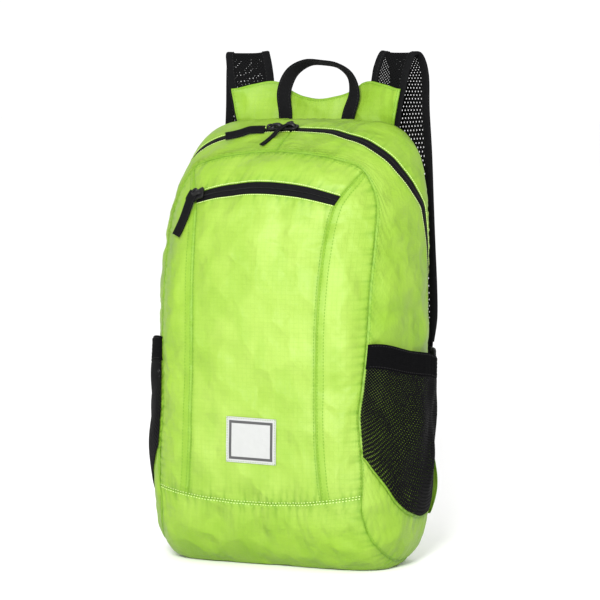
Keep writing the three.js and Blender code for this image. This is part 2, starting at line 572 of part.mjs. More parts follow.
function smoothPath(rows, count, keys) {
  const curve = {};
  for (const key of keys) {
    curve[key] = (t) => {
      const n = rows.length - 1;
      const f = clamp(t * n, 0, n - 1e-9);
      const i = Math.floor(f);
      const w = f - i;
      const g = (k) => rows[clamp(k, 0, n)][key];
      const [p0, p1, p2, p3] = [g(i - 1), g(i), g(i + 1), g(i + 2)];
      const bend = (2 * p0 - 5 * p1 + 4 * p2 - p3) * w * w + (3 * p1 - p0 - 3 * p2 + p3) * w * w * w;
      return 0.5 * (2 * p1 + (p2 - p0) * w + bend);
    };
  }
  return steps(0, 1, count).map((t) => Object.fromEntries(keys.map((key) => [key, curve[key](t)])));
}

function framesOf(rows, widthAt) {
  return rows.map((r, k) => {
    const a = rows[Math.max(k - 1, 0)];
    const b = rows[Math.min(k + 1, rows.length - 1)];
    const ahead = new THREE.Vector3(b.x - a.x, b.y - a.y, b.z - a.z).normalize();
    const wide = widthAt(r, k);
    wide.addScaledVector(ahead, -wide.dot(ahead)).normalize();
    return { at: new THREE.Vector3(r.x, r.y, r.z), wide, thick: wide.clone().cross(ahead), ahead, row: r };
  });
}

const flatBand = (width, thick) => [
  [-width / 2, -thick / 2], [width / 2, -thick / 2], [width / 2, thick / 2], [-width / 2, thick / 2],
];
function boundBand(width) {
  const w = width / 2;
  const e = w - Math.min(STRAP_EDGE, w * 0.5);
  const [a, b] = [STRAP_RIM / 2, STRAP_THICK / 2];
  return [[-w, -a * 0.7], [-w + 2, -a], [-e, -a], [-e, -b], [e, -b], [e, -a], [w - 2, -a], [w, -a * 0.7],
    [w, a * 0.7], [w - 2, a], [e, a], [e, b], [-e, b], [-e, a], [-w + 2, a], [-w, a * 0.7]];
}

// Yoke behind the top seam: two tabs and the dip between them.
const YOKE_TOP = scaled([
  { x: 0, z: 1.0461 }, { x: 0.2062, z: 1.0526 }, { x: 0.3711, z: 1.0658 }, { x: 0.4948, z: 1.0833 },
  { x: 0.5773, z: 1.0866 }, { x: 0.7835, z: 1.0789 }, { x: 1, z: 1.0691 },
], { x: HALF_YOKE, z: BAG_HEIGHT });
const YOKE_LOW_Z = BAG_HEIGHT * 0.9737;
const YOKE_BEND = { curlFrom: BAG_HEIGHT * 0.9781, curlOver: BAG_HEIGHT * 0.0877, leanFrom: BAG_HEIGHT * 0.9912,
  leanOver: BAG_HEIGHT * 0.0833 };
const YOKE_LOW_Y = BACK_Y + STRAP_CLEAR;
const YOKE_BACKWARD = 13.5;
const YOKE_CURL = 15;
const YOKE_TAB_IN = 52;
const tabShare = (far) => clamp((far - YOKE_TAB_IN) / (HALF_YOKE - YOKE_TAB_IN), 0, 1);
const yokePlaces = [0, 0.1031, 0.2062, 0.2784, 0.3557, 0.433, 0.5155, 0.5876, 0.6804, 0.7835, 0.8969, 1]
  .map((share) => share * HALF_YOKE);
const YOKE_PLACES = [...yokePlaces.slice(1).reverse().map((x) => -x), ...yokePlaces];
sheet('shoulder_yoke', 'lime', YOKE_PLACES, steps(0, 1, 5), (x, t) => {
  const far = Math.abs(x);
  const z = mix(YOKE_LOW_Z, fromRows(YOKE_TOP, 'x', 'z', far), t);
  const narrow = 1 - 0.09 * (1 - t) * tabShare(far);
  const curl = YOKE_CURL * tabShare(far) * clamp((z - YOKE_BEND.curlFrom) / YOKE_BEND.curlOver, 0, 1);
  const lean = YOKE_BACKWARD * clamp((z - YOKE_BEND.leanFrom) / YOKE_BEND.leanOver, 0, 1) ** 1.1;
  const overFoot = (LOOP_THICK + 2 * STRAP_CLEAR) * Math.exp(-(((far - LOOP_FOOT) / (LOOP_WIDTH * 0.867)) ** 4));
  return { p: new THREE.Vector3(x * narrow, YOKE_LOW_Y + overFoot + lean - curl, z), n: new THREE.Vector3(0, -1, 0) };
}, YOKE_THICK, 0);

// Haul loop: webbing that stands on two feet and twists over at its top.
const LOOP_PATH = scaled([
  { x: -1, y: 0, z: 0.9759, turn: 0 }, { x: -1.0145, y: 0, z: 1.0132, turn: 6 },
  { x: -1.0783, y: 0.08, z: 1.0614, turn: 18 }, { x: -0.8551, y: 0.2667, z: 1.1053, turn: 44 },
  { x: -0.3768, y: 0.4667, z: 1.1283, turn: 64 }, { x: 0.1739, y: 0.5333, z: 1.1283, turn: 70 },
  { x: 0.6667, y: 0.4667, z: 1.1206, turn: 64 }, { x: 1.1014, y: 0.2667, z: 1.0965, turn: 42 },
  { x: 1.2609, y: 0.08, z: 1.057, turn: 18 }, { x: 1.1014, y: 0, z: 1.0132, turn: 6 },
  { x: 1, y: 0, z: 0.9759, turn: 0 },
], { x: LOOP_FOOT, y: LOOP_WIDTH, z: BAG_HEIGHT });
const LOOP_Y = BACK_Y + STRAP_CLEAR + LOOP_THICK / 2;
const loopRows = smoothPath(LOOP_PATH, 30, ['x', 'y', 'z', 'turn']).map((r) => ({ ...r, y: r.y + LOOP_Y }));
const loopFrames = framesOf(loopRows, (r, k) => {
  const a = loopRows[Math.max(k - 1, 0)];
  const b = loopRows[Math.min(k + 1, loopRows.length - 1)];
  const inward = new THREE.Vector3(b.z - a.z, 0, a.x - b.x).normalize().multiplyScalar(Math.cos(rad(r.turn)));
  return inward.add(new THREE.Vector3(0, Math.sin(rad(r.turn)), 0));
});
band('haul_loop', 'black', loopFrames, () => flatBand(LOOP_WIDTH, LOOP_THICK));

// Shoulder straps, their buckles and the webbing down to the corner tabs.
const BUCKLE = { wide: 30, tall: 30, thick: 4, bar: 4, slotWide: 22.5, slotTall: 6.4 };
const wasm = await Module();
wasm.setup();
function solidBox(cx, cy, cz, sx, sy, sz) {
  const box = new THREE.BoxGeometry(sx, sy, sz).translate(cx, cy, cz);
  box.deleteAttribute('normal');
  box.deleteAttribute('uv');
  const joined = mergeVertices(box);
  const vertProperties = new Float32Array(joined.attributes.position.array);
  const triVerts = new Uint32Array(joined.index.array);
  return new wasm.Manifold(new wasm.Mesh({ numProp: 3, vertProperties, triVerts }));
}
function fromManifold(name, look, solid, place) {
  const m = solid.getMesh();
  const points = [];
  for (let i = 0; i < m.vertProperties.length; i += m.numProp) {
    points.push(place(m.vertProperties[i], m.vertProperties[i + 1], m.vertProperties[i + 2]));
  }
  const faces = [];
  for (let i = 0; i < m.triVerts.length; i += 3) faces.push([m.triVerts[i], m.triVerts[i + 1], m.triVerts[i + 2]]);
  return addSolid(name, look, points, faces);
}
const flipX = (frames, side) => frames.map((f) => {
  const turned = (v) => new THREE.Vector3(v.x * side, v.y, v.z);
  return { at: turned(f.at), wide: turned(f.wide), thick: turned(f.thick), ahead: turned(f.ahead), row: f.row };
});
const behindBack = (rows) => rows.map((r) => ({ ...r, y: BACK_Y + r.behind }));
const strapRows = smoothPath(behindBack(STRAP_PATH), 44, ['x', 'y', 'z', 'aim', 'wide']);
const strapFrames = framesOf(strapRows, (r) => new THREE.Vector3(Math.cos(rad(r.aim)), Math.sin(rad(r.aim)), 0));
const strapEnd = strapFrames[strapFrames.length - 1];
const buckleAt = new THREE.Vector3(strapEnd.at.x + 1.2, strapEnd.at.y - 1, strapEnd.at.z - BUCKLE.tall / 2 - 3.4);
const webTurn = scaled(WEB_TURN, { back: BUCKLE.tall, up: BUCKLE.tall }).map((w) => {
  return { x: buckleAt.x, y: buckleAt.y + w.back, z: buckleAt.z + w.up };
});
const webStops = [...behindBack(WEB_RISE), ...webTurn];
const webRows = smoothPath(webStops, 56, ['x', 'y', 'z']);
const webFrames = framesOf(webRows, (r, k) => {
  const aim = rad(mix(9, -6, clamp((4 * k) / (webRows.length - 1), 0, 1)));
  return new THREE.Vector3(Math.cos(aim), Math.sin(aim), 0);
});
const TAB_BULGE = 5;
const TAB_BACK = { low: -2.6, high: 4.2 };
const [TAB_LOW, TAB_HIGH] = scaled([
  { x: 0.9388, z: 0.1053, half: 0.0144 }, { x: 0.8705, z: 0.2325, half: 0.0935 },
], { x: HALF_WIDTH, z: BAG_HEIGHT, half: HALF_WIDTH });
for (const [side, word] of [[-1, 'left'], [1, 'right']]) {
  const frames = flipX(strapFrames, side);
  band(`shoulder_strap_${word}`, 'net', frames, (k) => boundBand(STRAP_WIDTH * frames[k].row.wide));
  let plate = solidBox(0, 0, 0, BUCKLE.wide, BUCKLE.thick, BUCKLE.tall);
  for (const up of [-1, 1]) {
    plate = plate.subtract(solidBox(0, 0, up * (BUCKLE.slotTall / 2 + BUCKLE.bar / 2), BUCKLE.slotWide, 9, BUCKLE.slotTall));
  }
  plate = plate.add(solidBox(0, -1.4, BUCKLE.tall / 2 - 1, BUCKLE.wide * 0.8, 3.2, 2.4));
  fromManifold(`strap_buckle_${word}`, 'plastic', plate, (x, y, z) => {
    const aim = rad(-6);
    const px = buckleAt.x + x * Math.cos(aim) - y * Math.sin(aim);
    return new THREE.Vector3(px * side, buckleAt.y + x * Math.sin(aim) + y * Math.cos(aim), buckleAt.z + z);
  });
  band(`strap_webbing_${word}`, 'black', flipX(webFrames, side), () => flatBand(WEB_WIDTH, WEB_THICK));
  sheet(`corner_tab_${word}`, 'lime', steps(-1, 1, 4), steps(0, 1, 4), (u, v) => {
    const across = mix(TAB_LOW.x, TAB_HIGH.x, v) + u * mix(TAB_LOW.half, TAB_HIGH.half, v ** 0.8);
    const bulge = TAB_BULGE * Math.sin(Math.PI * v) * clamp(u, 0, 1);
    const y = BACK_Y + mix(TAB_BACK.low, TAB_BACK.high, v) + CLOTH + 0.8 * v * u;
    return { p: new THREE.Vector3((across + bulge) * side, y, mix(TAB_LOW.z, TAB_HIGH.z, v)), n: new THREE.Vector3(0, 1, 0) };
  }, CLOTH, 0);
}

// Zip sliders, their pulls and the bare patch on the front.
function block(name, look, at, along, face, size, taper = 0.8) {
  const ahead = along.clone().normalize();
  const out = face.clone().addScaledVector(ahead, -face.dot(ahead)).normalize();
  const across = out.clone().cross(ahead);
  const points = [];
  const [long, wide, high] = size;
  for (const [h, k] of [[0, 1], [0.6, 1], [1, taper]]) {
    for (const [a, b] of [[-1, -0.5], [-0.6, -1], [0.6, -1], [1, -0.5], [1, 0.5], [0.6, 1], [-0.6, 1], [-1, 0.5]]) {
      const p = at.clone().addScaledVector(ahead, (a * long * k) / 2).addScaledVector(across, (b * wide * k) / 2);
      points.push(p.addScaledVector(out, h * high));
    }
  }
  const faces = [];
  for (let r = 0; r < 2; r += 1) {
    for (let i = 0; i < 8; i += 1) {
      const a = r * 8 + i;
      const b = r * 8 + ((i + 1) % 8);
      faces.push([a, b, b + 8], [a, b + 8, a + 8]);
    }
  }
  for (let i = 1; i < 7; i += 1) faces.push([0, i + 1, i], [16, 16 + i, 17 + i]);
  return addSolid(name, look, points, faces);
}
const SLIDER_LONG = 12;
const SLIDER_WIDE = 8.5;
const SLIDER_HIGH = 4;
const SLIDER = [SLIDER_LONG, SLIDER_WIDE, SLIDER_HIGH];
const zipMark = (turn) => {
  const s = wrap(turn, zipLean(turn), 0.3);
  return { ...s, along: plainPoint(turn + 1, zipLean(turn + 1)).sub(plainPoint(turn - 1, zipLean(turn - 1))) };
};
for (const [turn, word] of [[184.2, 'left'], [180.6, 'right']]) {
  const mark = zipMark(turn);
  block(`main_zip_slider_${word}`, 'plastic', mark.p, mark.along, mark.n, SLIDER);
}
const MARK_IN = 8;
const FRONT_MARK = {
  x: MARK_IN - FRONT_ZIP_HALF, z: zipLowUp(FRONT_ZIP_HALF - MARK_IN) + FRONT_ZIP_WIDTH / 2,
};
const frontMark = onFront(FRONT_MARK.x, FRONT_MARK.z, 1.5);
block('front_zip_slider', 'plastic', frontMark.p, new THREE.Vector3(1, 0.1, 0.2), frontMark.n, SLIDER);

function ribbon(name, look, places, width, thick) {
  const rows = places.map((s) => ({ x: s.p.x, y: s.p.y, z: s.p.z, n: s.n }));
  const frames = framesOf(rows, (r, k) => {
    const a = rows[Math.max(k - 1, 0)];
    const b = rows[Math.min(k + 1, rows.length - 1)];
    return r.n.clone().cross(new THREE.Vector3(b.x - a.x, b.y - a.y, b.z - a.z));
  });
  return band(name, look, frames, () => flatBand(width, thick));
}
const PULL_THICK = 1.4;
const PULL_WIDE = 9;
ribbon('main_zip_pull_left', 'black', [186.6, 188.5, 190.5, 192.5, 194.5, 196.2].map((turn) => {
  return wrap(turn, zipLean(turn) - 1.5, 1.1 + PULL_THICK / 2 + 0.5 * Math.sin(turn));
}), 8, PULL_THICK);
const PULL_OVER = SLIDER_HIGH + PULL_THICK / 2 + 0.7;
const RIGHT_PULL = [
  { ahead: 1, high: 1 }, { ahead: -2, high: 1 }, { ahead: -5, high: 0.84 }, { ahead: -8.5, high: 0.42 },
  { ahead: -12, high: 0.3 }, { ahead: -15, high: 0.42 },
];
ribbon('main_zip_pull_right', 'black', RIGHT_PULL.map((r, k) => {
  return wrap(180.9 + 0.8 * k, zipLean(180) + r.ahead, PULL_OVER * r.high);
}), 6, PULL_THICK);
const PULL_LONG = 42;
const FRONT_PULL = scaled([
  { out: -0.0238, up: 0.0238, high: 1 }, { out: -0.1071, up: -0.119, high: 1 },
  { out: -0.1667, up: -0.3095, high: 0.5 },
  { out: -0.2381, up: -0.5476, high: 0.26 }, { out: -0.3333, up: -0.7857, high: 0.32 },
  { out: -0.4286, up: -1, high: 0.18 },
], { out: PULL_LONG, up: PULL_LONG });
ribbon('front_zip_pull', 'black', FRONT_PULL.map((r) => {
  return onFront(FRONT_MARK.x + r.out, FRONT_MARK.z + r.up, (PULL_OVER + 2.6) * r.high);
}), PULL_WIDE, PULL_THICK);

const LABEL_ACROSS = 55;
const LABEL_TALL = 46;
const LABEL_X = 0.5;
const LABEL_UP = 132.5;
const LABEL_THICK = 0.8;
const LABEL_CLEAR = 0.35;
sheet('label_patch', 'pale', steps(-0.5, 0.5, 4), steps(-0.5, 0.5, 3), (u, v) => {
  return onFront(LABEL_X + u * LABEL_ACROSS, LABEL_UP + v * LABEL_TALL, LABEL_THICK + LABEL_CLEAR);
}, LABEL_THICK, 0);

export default bag;
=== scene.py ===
# %% [markdown]
# # A packable backpack, sewn from ripstop cloth
# The bag is a thin nylon shell with a front pocket, a long curved zip, two net side pockets,
# see-through shoulder straps and a webbing loop. The solids of the frame give every place and
# size. This lesson dresses them: each cloth panel becomes a fine sheet with seams, puckers and a
# weave, and the trim becomes real webbing, net, zip and buckles.

# %% Load the fixed frame and keep its box
import json
import math
import bmesh
import bpy
import numpy as np
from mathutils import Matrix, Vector

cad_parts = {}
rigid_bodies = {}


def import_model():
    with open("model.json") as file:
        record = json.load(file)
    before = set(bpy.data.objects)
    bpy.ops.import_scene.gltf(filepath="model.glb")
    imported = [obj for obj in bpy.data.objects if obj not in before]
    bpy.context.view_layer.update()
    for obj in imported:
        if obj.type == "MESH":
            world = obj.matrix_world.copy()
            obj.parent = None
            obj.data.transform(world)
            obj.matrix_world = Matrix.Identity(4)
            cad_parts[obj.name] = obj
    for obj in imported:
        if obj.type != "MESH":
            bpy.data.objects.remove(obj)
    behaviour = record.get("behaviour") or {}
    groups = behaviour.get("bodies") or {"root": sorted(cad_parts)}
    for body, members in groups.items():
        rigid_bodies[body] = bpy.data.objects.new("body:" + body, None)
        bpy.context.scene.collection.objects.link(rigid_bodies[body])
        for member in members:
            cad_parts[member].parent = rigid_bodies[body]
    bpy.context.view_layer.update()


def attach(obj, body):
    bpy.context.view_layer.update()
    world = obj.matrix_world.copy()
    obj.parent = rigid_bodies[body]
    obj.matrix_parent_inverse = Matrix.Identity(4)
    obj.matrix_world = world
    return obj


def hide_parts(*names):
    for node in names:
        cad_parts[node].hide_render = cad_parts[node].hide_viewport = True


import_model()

MM = 0.001


def add(name, data):
    """A new object in the scene."""
    made = bpy.data.objects.new(name, data)
    bpy.context.scene.collection.objects.link(made)
    return made


# %% [markdown]
# The camera stands 25 degrees to the right of the front and a little above the middle, far away
# with a long lens, so that upright edges stay nearly parallel.

# %% Camera
TURN, RISE, AWAY = math.radians(25), math.radians(4.5), 3.2
AIM = Vector((0, 0, 0.25))
LENS_PIXELS, FRAME_PIXELS, SENSOR = 3104, 600, 36
AIM_ACROSS, AIM_DOWN = 285.3, 320  # where the aim lands in the picture, in pixels
towards = Vector((math.sin(TURN) * math.cos(RISE), -math.cos(TURN) * math.cos(RISE), math.sin(RISE)))
camera = add("camera", bpy.data.cameras.new("camera"))
camera.location = AIM + towards * AWAY
camera.rotation_euler = towards.to_track_quat("Z", "Y").to_euler()
camera.data.sensor_width = SENSOR
camera.data.lens = LENS_PIXELS / FRAME_PIXELS * SENSOR
camera.data.shift_x = (FRAME_PIXELS / 2 - AIM_ACROSS) / FRAME_PIXELS
camera.data.shift_y = (AIM_DOWN - FRAME_PIXELS / 2) / FRAME_PIXELS
camera.data.clip_end = 100
bpy.context.scene.camera = camera
print("lens:", round(camera.data.lens, 1), "mm")

# %% [markdown]
# Materials are small trees of nodes. A short wrapper lets Python write their sums: adding two
# shader values adds a Math node. Every other node comes from one method, which takes the node's
# type, its settings and the values or links of its sockets.


# %% A way to write materials
class Wire:
    """One value inside a material, ready for sums."""

    def __init__(self, finish, socket):
        self.finish, self.socket = finish, socket

    def maths(self, operation, first, second=0.0):
        return self.finish.node("ShaderNodeMath", {"operation": operation}, {0: first, 1: second})

    def __add__(self, other):
        return self.maths("ADD", self, other)

    def __radd__(self, other):
        return self.maths("ADD", other, self)

    def __sub__(self, other):
        return self.maths("SUBTRACT", self, other)

    def __rsub__(self, other):
        return self.maths("SUBTRACT", other, self)

    def __mul__(self, other):
        return self.maths("MULTIPLY", self, other)

    def __rmul__(self, other):
        return self.maths("MULTIPLY", other, self)

    def wave(self, length):
        """A sine over the value, from 0 to 1, that repeats after length."""
        return self.maths("SINE", self * (2 * math.pi / length)) * 0.5 + 0.5

    def lines(self, pitch, half):
        """1 on lines a pitch apart, 0 away from them; half is their half width."""
        return 1 - self.maths("PINGPONG", self, pitch / 2).rise(half * 0.4, half)

    def ridge(self):
        """1 where the value is 0, falling away on both sides."""
        return 1 - self.maths("ABSOLUTE", self)

    def rise(self, low, high):
        """0 below low, 1 above high and smooth between."""
        settings = {"interpolation_type": "SMOOTHSTEP"}
        return self.finish.node("ShaderNodeMapRange", settings, {0: self, 1: low, 2: high})


class Finish:
    """A material whose nodes are added one by one."""

    def __init__(self, name):
        self.material = bpy.data.materials.new(name)
        self.material.use_nodes = True
        self.tree = self.material.node_tree
        self.tree.nodes.clear()

    def node(self, kind, settings=(), sockets=(), out=0):
        made = self.tree.nodes.new(kind)
        for key, value in dict(settings).items():
            setattr(made, key, value)
        for key, value in dict(sockets).items():
            if isinstance(value, Wire):
                self.tree.links.new(value.socket, made.inputs[key])
            else:
                made.inputs[key].default_value = value
        if isinstance(out, tuple):
            return tuple(Wire(self, made.outputs[k]) for k in out)
        return Wire(self, made.outputs[out])

    def place(self):
        """The piece's own cloth map, in metres: across, along and both together."""
        both = self.node("ShaderNodeUVMap", {"uv_map": "cloth"})
        across, along = self.node("ShaderNodeSeparateXYZ", (), {0: both}, out=(0, 1))
        return across, along, both

    def mark(self, name):
        return self.node("ShaderNodeAttribute", {"attribute_name": name}, out=2)

    def noise(self, at, size, detail=2.0, rough=0.5):
        sockets = {"Vector": at, "Scale": 1 / size, "Detail": detail, "Roughness": rough}
        return self.node("ShaderNodeTexNoise", (), sockets)

    def blend(self, share, low, high):
        return self.node("ShaderNodeMix", {"data_type": "RGBA"}, {0: share, 6: low, 7: high}, out=2)

    def bump(self, height, depth, strength=1.0):
        return self.node("ShaderNodeBump", (), {"Height": height, "Distance": depth, "Strength": strength})

    def surface(self, **sockets):
        named = {key.replace("_", " "): value for key, value in sockets.items()}
        shader = self.node("ShaderNodeBsdfPrincipled", (), named)
        self.node("ShaderNodeOutputMaterial", (), {0: shader}, out=())
        return self.material


def tint(red, green, blue):
    return (red, green, blue, 1)


# %% [markdown]
# The stage is a wide pale floor under an even white sky. One large soft lamp in front lights the
# front panel most, so that the side panels fall into a deeper green as in a studio shot.

# %% Floor, sky and lamp
floor_finish = Finish("pale_floor")
spot = floor_finish.node("ShaderNodeTexCoord", out=3)
grain = floor_finish.noise(spot, 0.4)
floor_look = floor_finish.surface(
    Base_Color=floor_finish.blend(grain, tint(0.955, 0.955, 0.95), tint(0.975, 0.975, 0.97)), Roughness=0.8,
    Specular_IOR_Level=0.1
)
floor_mesh = bpy.data.meshes.new("floor")
FAR = 30
floor_mesh.from_pydata([(-FAR, -FAR, 0), (FAR, -FAR, 0), (FAR, FAR, 0), (-FAR, FAR, 0)], [], [(0, 1, 2, 3)])
floor_mesh.materials.append(floor_look)
floor = add("floor", floor_mesh)
floor.location.z = -0.0006

sky = bpy.data.worlds.new("studio")
sky.use_nodes = True
sky.node_tree.nodes["Background"].inputs[0].default_value = tint(1, 1, 1)
sky.node_tree.nodes["Background"].inputs[1].default_value = 1.05
bpy.context.scene.world = sky
bpy.context.scene.view_settings.view_transform = "Standard"

LAMP_AT = Vector((0.8, -2.5, 1.35))
lamp = add("front_lamp", bpy.data.lights.new("front_lamp", "AREA"))
lamp.data.shape, lamp.data.size, lamp.data.energy = "DISK", 0.7, 98
lamp.location = LAMP_AT
lamp.rotation_euler = (LAMP_AT - AIM).to_track_quat("Z", "Y").to_euler()
print("lamp of", lamp.data.energy, "W placed")

# %% [markdown]
# Ripstop nylon is a thin plain weave with a thicker thread every few millimetres, which stops a
# tear. The finish reads the panel's own cloth map: fine threads, the grid of thick threads, soft
# colour drift, and a darker band where a seam doubles the cloth underneath. Light and shade are
# painted into the colour too: a highlight on cloth turned towards the lamp and on crease crests,
# and shade in soft folds, beside the seams and in the pucker troughs.


# %% Lime ripstop
RIP_PITCH, RIP_HALF, THREAD_PITCH = 0.0047, 0.0005, 0.0006


def ripstop():
    cloth = Finish("lime_ripstop")
    across, along, _ = cloth.place()
    grid = across.maths("MAXIMUM", across.lines(RIP_PITCH, RIP_HALF), along.lines(RIP_PITCH, RIP_HALF))
    threads = across.wave(THREAD_PITCH) * along.wave(THREAD_PITCH)
    spot = cloth.node("ShaderNodeTexCoord", out=3)
    upright = cloth.node("ShaderNodeMapping", (), {"Vector": spot, "Scale": (1, 1, 0.5)})
    drift, worn = cloth.noise(spot, 0.07, 3.0), cloth.noise(spot, 0.025, 3.0)
    # Upright streaks of noise; in the colour they give painted shade of soft vertical folds.
    soft = cloth.noise(upright, 0.036, 2.0, 0.5)
    creases = (cloth.noise(upright, 0.028, 2.0, 0.45) * 2 - 1).ridge()
    shifted = {0: cloth.noise(spot, 0.03), 1: (0.03, 0.02, 0.02), 2: spot}
    bent = cloth.node("ShaderNodeVectorMath", {"operation": "MULTIPLY_ADD"}, shifted)
    cells = {"Vector": bent, "Scale": 30.0, "Smoothness": 0.25}
    facets = cloth.node("ShaderNodeTexVoronoi", {"feature": "SMOOTH_F1"}, cells)
    wrinkles = (cloth.noise(spot, 0.007, 3.0, 0.6) * 2 - 1).ridge()
    # Marks from the sewing: painted shade beside the seams, a painted highlight on cloth turned towards the lamp,
    # painted shade in the pucker troughs, and the cloth's own doubled seam band.
    near, double, painted_highlight, pucker_shade = (cloth.mark(name) for name in ("near", "double", "painted_highlight", "pucker_shade"))
    lime = cloth.blend(drift.rise(0.3, 0.7), tint(0.145, 0.28, 0.005), tint(0.18, 0.325, 0.01))
    # A paler lime, laid as a painted highlight where the cloth faces the lamp.
    pale = cloth.blend(drift.rise(0.3, 0.7), tint(0.22, 0.345, 0.04), tint(0.265, 0.385, 0.068))
    lime = cloth.blend(painted_highlight, lime, pale)
    for share, colour in (
        # a painted highlight on the crease crests in the patchy areas, then painted shade in soft upright folds
        (creases * worn * 0.55, (0.3, 0.43, 0.075)), (soft.rise(0.5, 0.62) * 0.2, (0.13, 0.27, 0.006)),
        # the real grid of thick threads in the patchy areas, then painted shade beside the seams
        (grid * worn * 0.2, (0.12, 0.26, 0.006)), (near * (0.2 + wrinkles * 0.35), (0.09, 0.22, 0.004)),
        # painted shade in the pucker troughs, then the cloth's own doubled seam band
        (pucker_shade * 0.7, (0.075, 0.19, 0.003)), (double * 0.45, (0.15, 0.29, 0.012)),
    ):
        lime = cloth.blend(share, lime, tint(*colour))
    height = creases * 0.0006 + facets * 0.006 + wrinkles * 0.00025 + grid * 0.00006 + threads * 0.00004
    return cloth.surface(
        Base_Color=lime, Roughness=0.46 + worn * 0.14 - grid * 0.05, Normal=cloth.bump(height, 1.0),
        Specular_IOR_Level=0.3,
    )


LIME = ripstop()
print("ripstop nodes:", len(LIME.node_tree.nodes))

# %% [markdown]
# The trim is black: ribbed webbing, a knitted net, coated zip tape and moulded plastic. None is
# quite black in the light, and each takes the light in its own way.


# %% Black finishes, thread and patch
def woven(name, colour, rib, weave, rough):
    cloth = Finish(name)
    across, along, both = cloth.place()
    ribs, picks = across.wave(rib), along.wave(weave)
    lint = cloth.noise(both, 0.004, 4.0)
    height = ribs * 0.6 + ribs * picks * 0.5
    shade = cloth.blend(lint * 0.6 + picks * 0.25, tint(*colour), tint(*(c * 2.4 + 0.002 for c in colour)))
    return cloth.surface(Base_Color=shade, Roughness=rough + lint * 0.15, Normal=cloth.bump(height, 0.00025),
                         Specular_IOR_Level=0.02)


def by_object(name, colour, worn, rough, size, depth, shine=0.3):
    cloth = Finish(name)
    spot = cloth.node("ShaderNodeTexCoord", out=3)
    broad, fine = cloth.noise(spot, size * 12, 3.0), cloth.noise(spot, size, 4.0, 0.6)
    shade = cloth.blend(broad * 0.6 + fine * 0.4, tint(*colour), tint(*worn))
    return cloth.surface(Base_Color=shade, Roughness=rough + fine * 0.2, Normal=cloth.bump(fine, depth),
                         Specular_IOR_Level=shine)


WEBBING = woven("black_webbing", (0.0035, 0.0035, 0.0038), 0.0016, 0.0011, 0.6)
ELASTIC = woven("black_elastic", (0.0012, 0.0012, 0.0014), 0.0013, 0.0018, 0.7)
BINDING = woven("black_binding", (0.0035, 0.0035, 0.0038), 0.0008, 0.0008, 0.55)
COATED = woven("zip_tape", (0.004, 0.004, 0.0043), 0.0009, 0.0009, 0.5)
NET = by_object("black_net", (0.0012, 0.0012, 0.0014), (0.004, 0.004, 0.0043), 0.65, 0.0012, 0.0002, 0.06)
PLASTIC = by_object("black_plastic", (0.002, 0.002, 0.0022), (0.006, 0.006, 0.0065), 0.34, 0.0006, 0.00005, 0.22)
# The lime thread is darker than the cloth: the thread's own colour with painted shade of the stitch dimples in it.
THREAD = by_object("lime_thread", (0.085, 0.2, 0.008), (0.17, 0.34, 0.02), 0.55, 0.0007, 0.0001)
DARK_THREAD = by_object("black_thread", (0.006, 0.006, 0.006), (0.02, 0.02, 0.02), 0.6, 0.0007, 0.0001, 0.15)
PALE_THREAD = by_object("pale_thread", (0.42, 0.58, 0.14), (0.62, 0.75, 0.33), 0.55, 0.0007, 0.0001)
COIL = by_object("zip_coil", (0.005, 0.005, 0.0055), (0.014, 0.014, 0.015), 0.4, 0.0008, 0.00005, 0.15)
print("finishes:", len(bpy.data.materials))

# %% [markdown]
# The whole shell is one rounded form. A place on it has a turn round the middle, counted from
# straight down, and a lean from the front (-90) over the widest line (0) to the back (90). The
# tables give the depth of the widest line, how square each face is and where the seams run. All
# panels are cut from this form, so neighbours meet along the same line.

# %% The form of the body, in millimetres
CORE, UP, DOWN, HALF, FRONT, BACK = 200, 256, 210, 139, -81, 74
CORNER_UP, CORNER_DOWN = 5.4, 6.5


def table(columns, *rows):
    return dict(zip(columns.split(), np.array(rows, float).T))


BODY = table(
    "turn rim front dome back wide seam",
    (0, 0.03, 3.9, 2.0, 20, 1.03, 60), (35, 0.07, 4.4, 2.0, 24, 1.03, 60), (60, 0.19, 4.3, 2.0, 26, 1.025, 61),
    (90, 0.27, 4.0, 2.0, 22, 1, 61), (120, 0.35, 3.9, 1.9, 20, 1, 60), (140, 0.57, 3.6, 1.65, 20, 1, 52),
    (152, 0.76, 3.4, 1.45, 20, 1, 46), (166, 0.84, 4.0, 1.45, 24, 1, 42), (180, 0.84, 4.6, 1.5, 24, 1, 42),
)
FRONT_SEAM = table(
    "turn lean", (43.28, -52.4), (55, -53), (68, -54), (85, -50), (106, -47), (128, -45.3), (140, -42.5),
    (148, -40), (155, -40), (163, -42.4), (171, -42.4), (180, -42.5),
)
MAIN_ZIP = table(
    "turn lean", (112, 54), (120, 48), (126, 42), (133, 26), (139, 5), (145, -14), (151, -24.5), (158, -28.5),
    (164, -28), (171, -24.5), (180, -24),
)
BOOT_TOP = table(
    "lean turn", (-53, 54.6), (-45, 52), (-36, 49.5), (-25, 46.5), (-9, 44.5), (18, 43), (40, 43), (62, 46)
)
BOOT_LOW = table("lean turn", (-53, 43.28), (-50, 39.6), (-42, 36.3), (-34, 35), (0, 33), (62, 32))
BAND_LOW = table("lean turn", (-53, 94.4), (-20, 90), (31, 86), (62, 85))
BAND_TOP = table("lean turn", (-53, 105.8), (-20, 100), (31, 95.5), (62, 94))
STITCH_LINE = table(
    "up out", (66, 76), (95, 73), (140, 70), (230, 69), (300, 71), (340, 73.5), (367, 76.5), (381, 82),
    (391, 87.5), (401, 92.6), (405.03, 95.61),
)
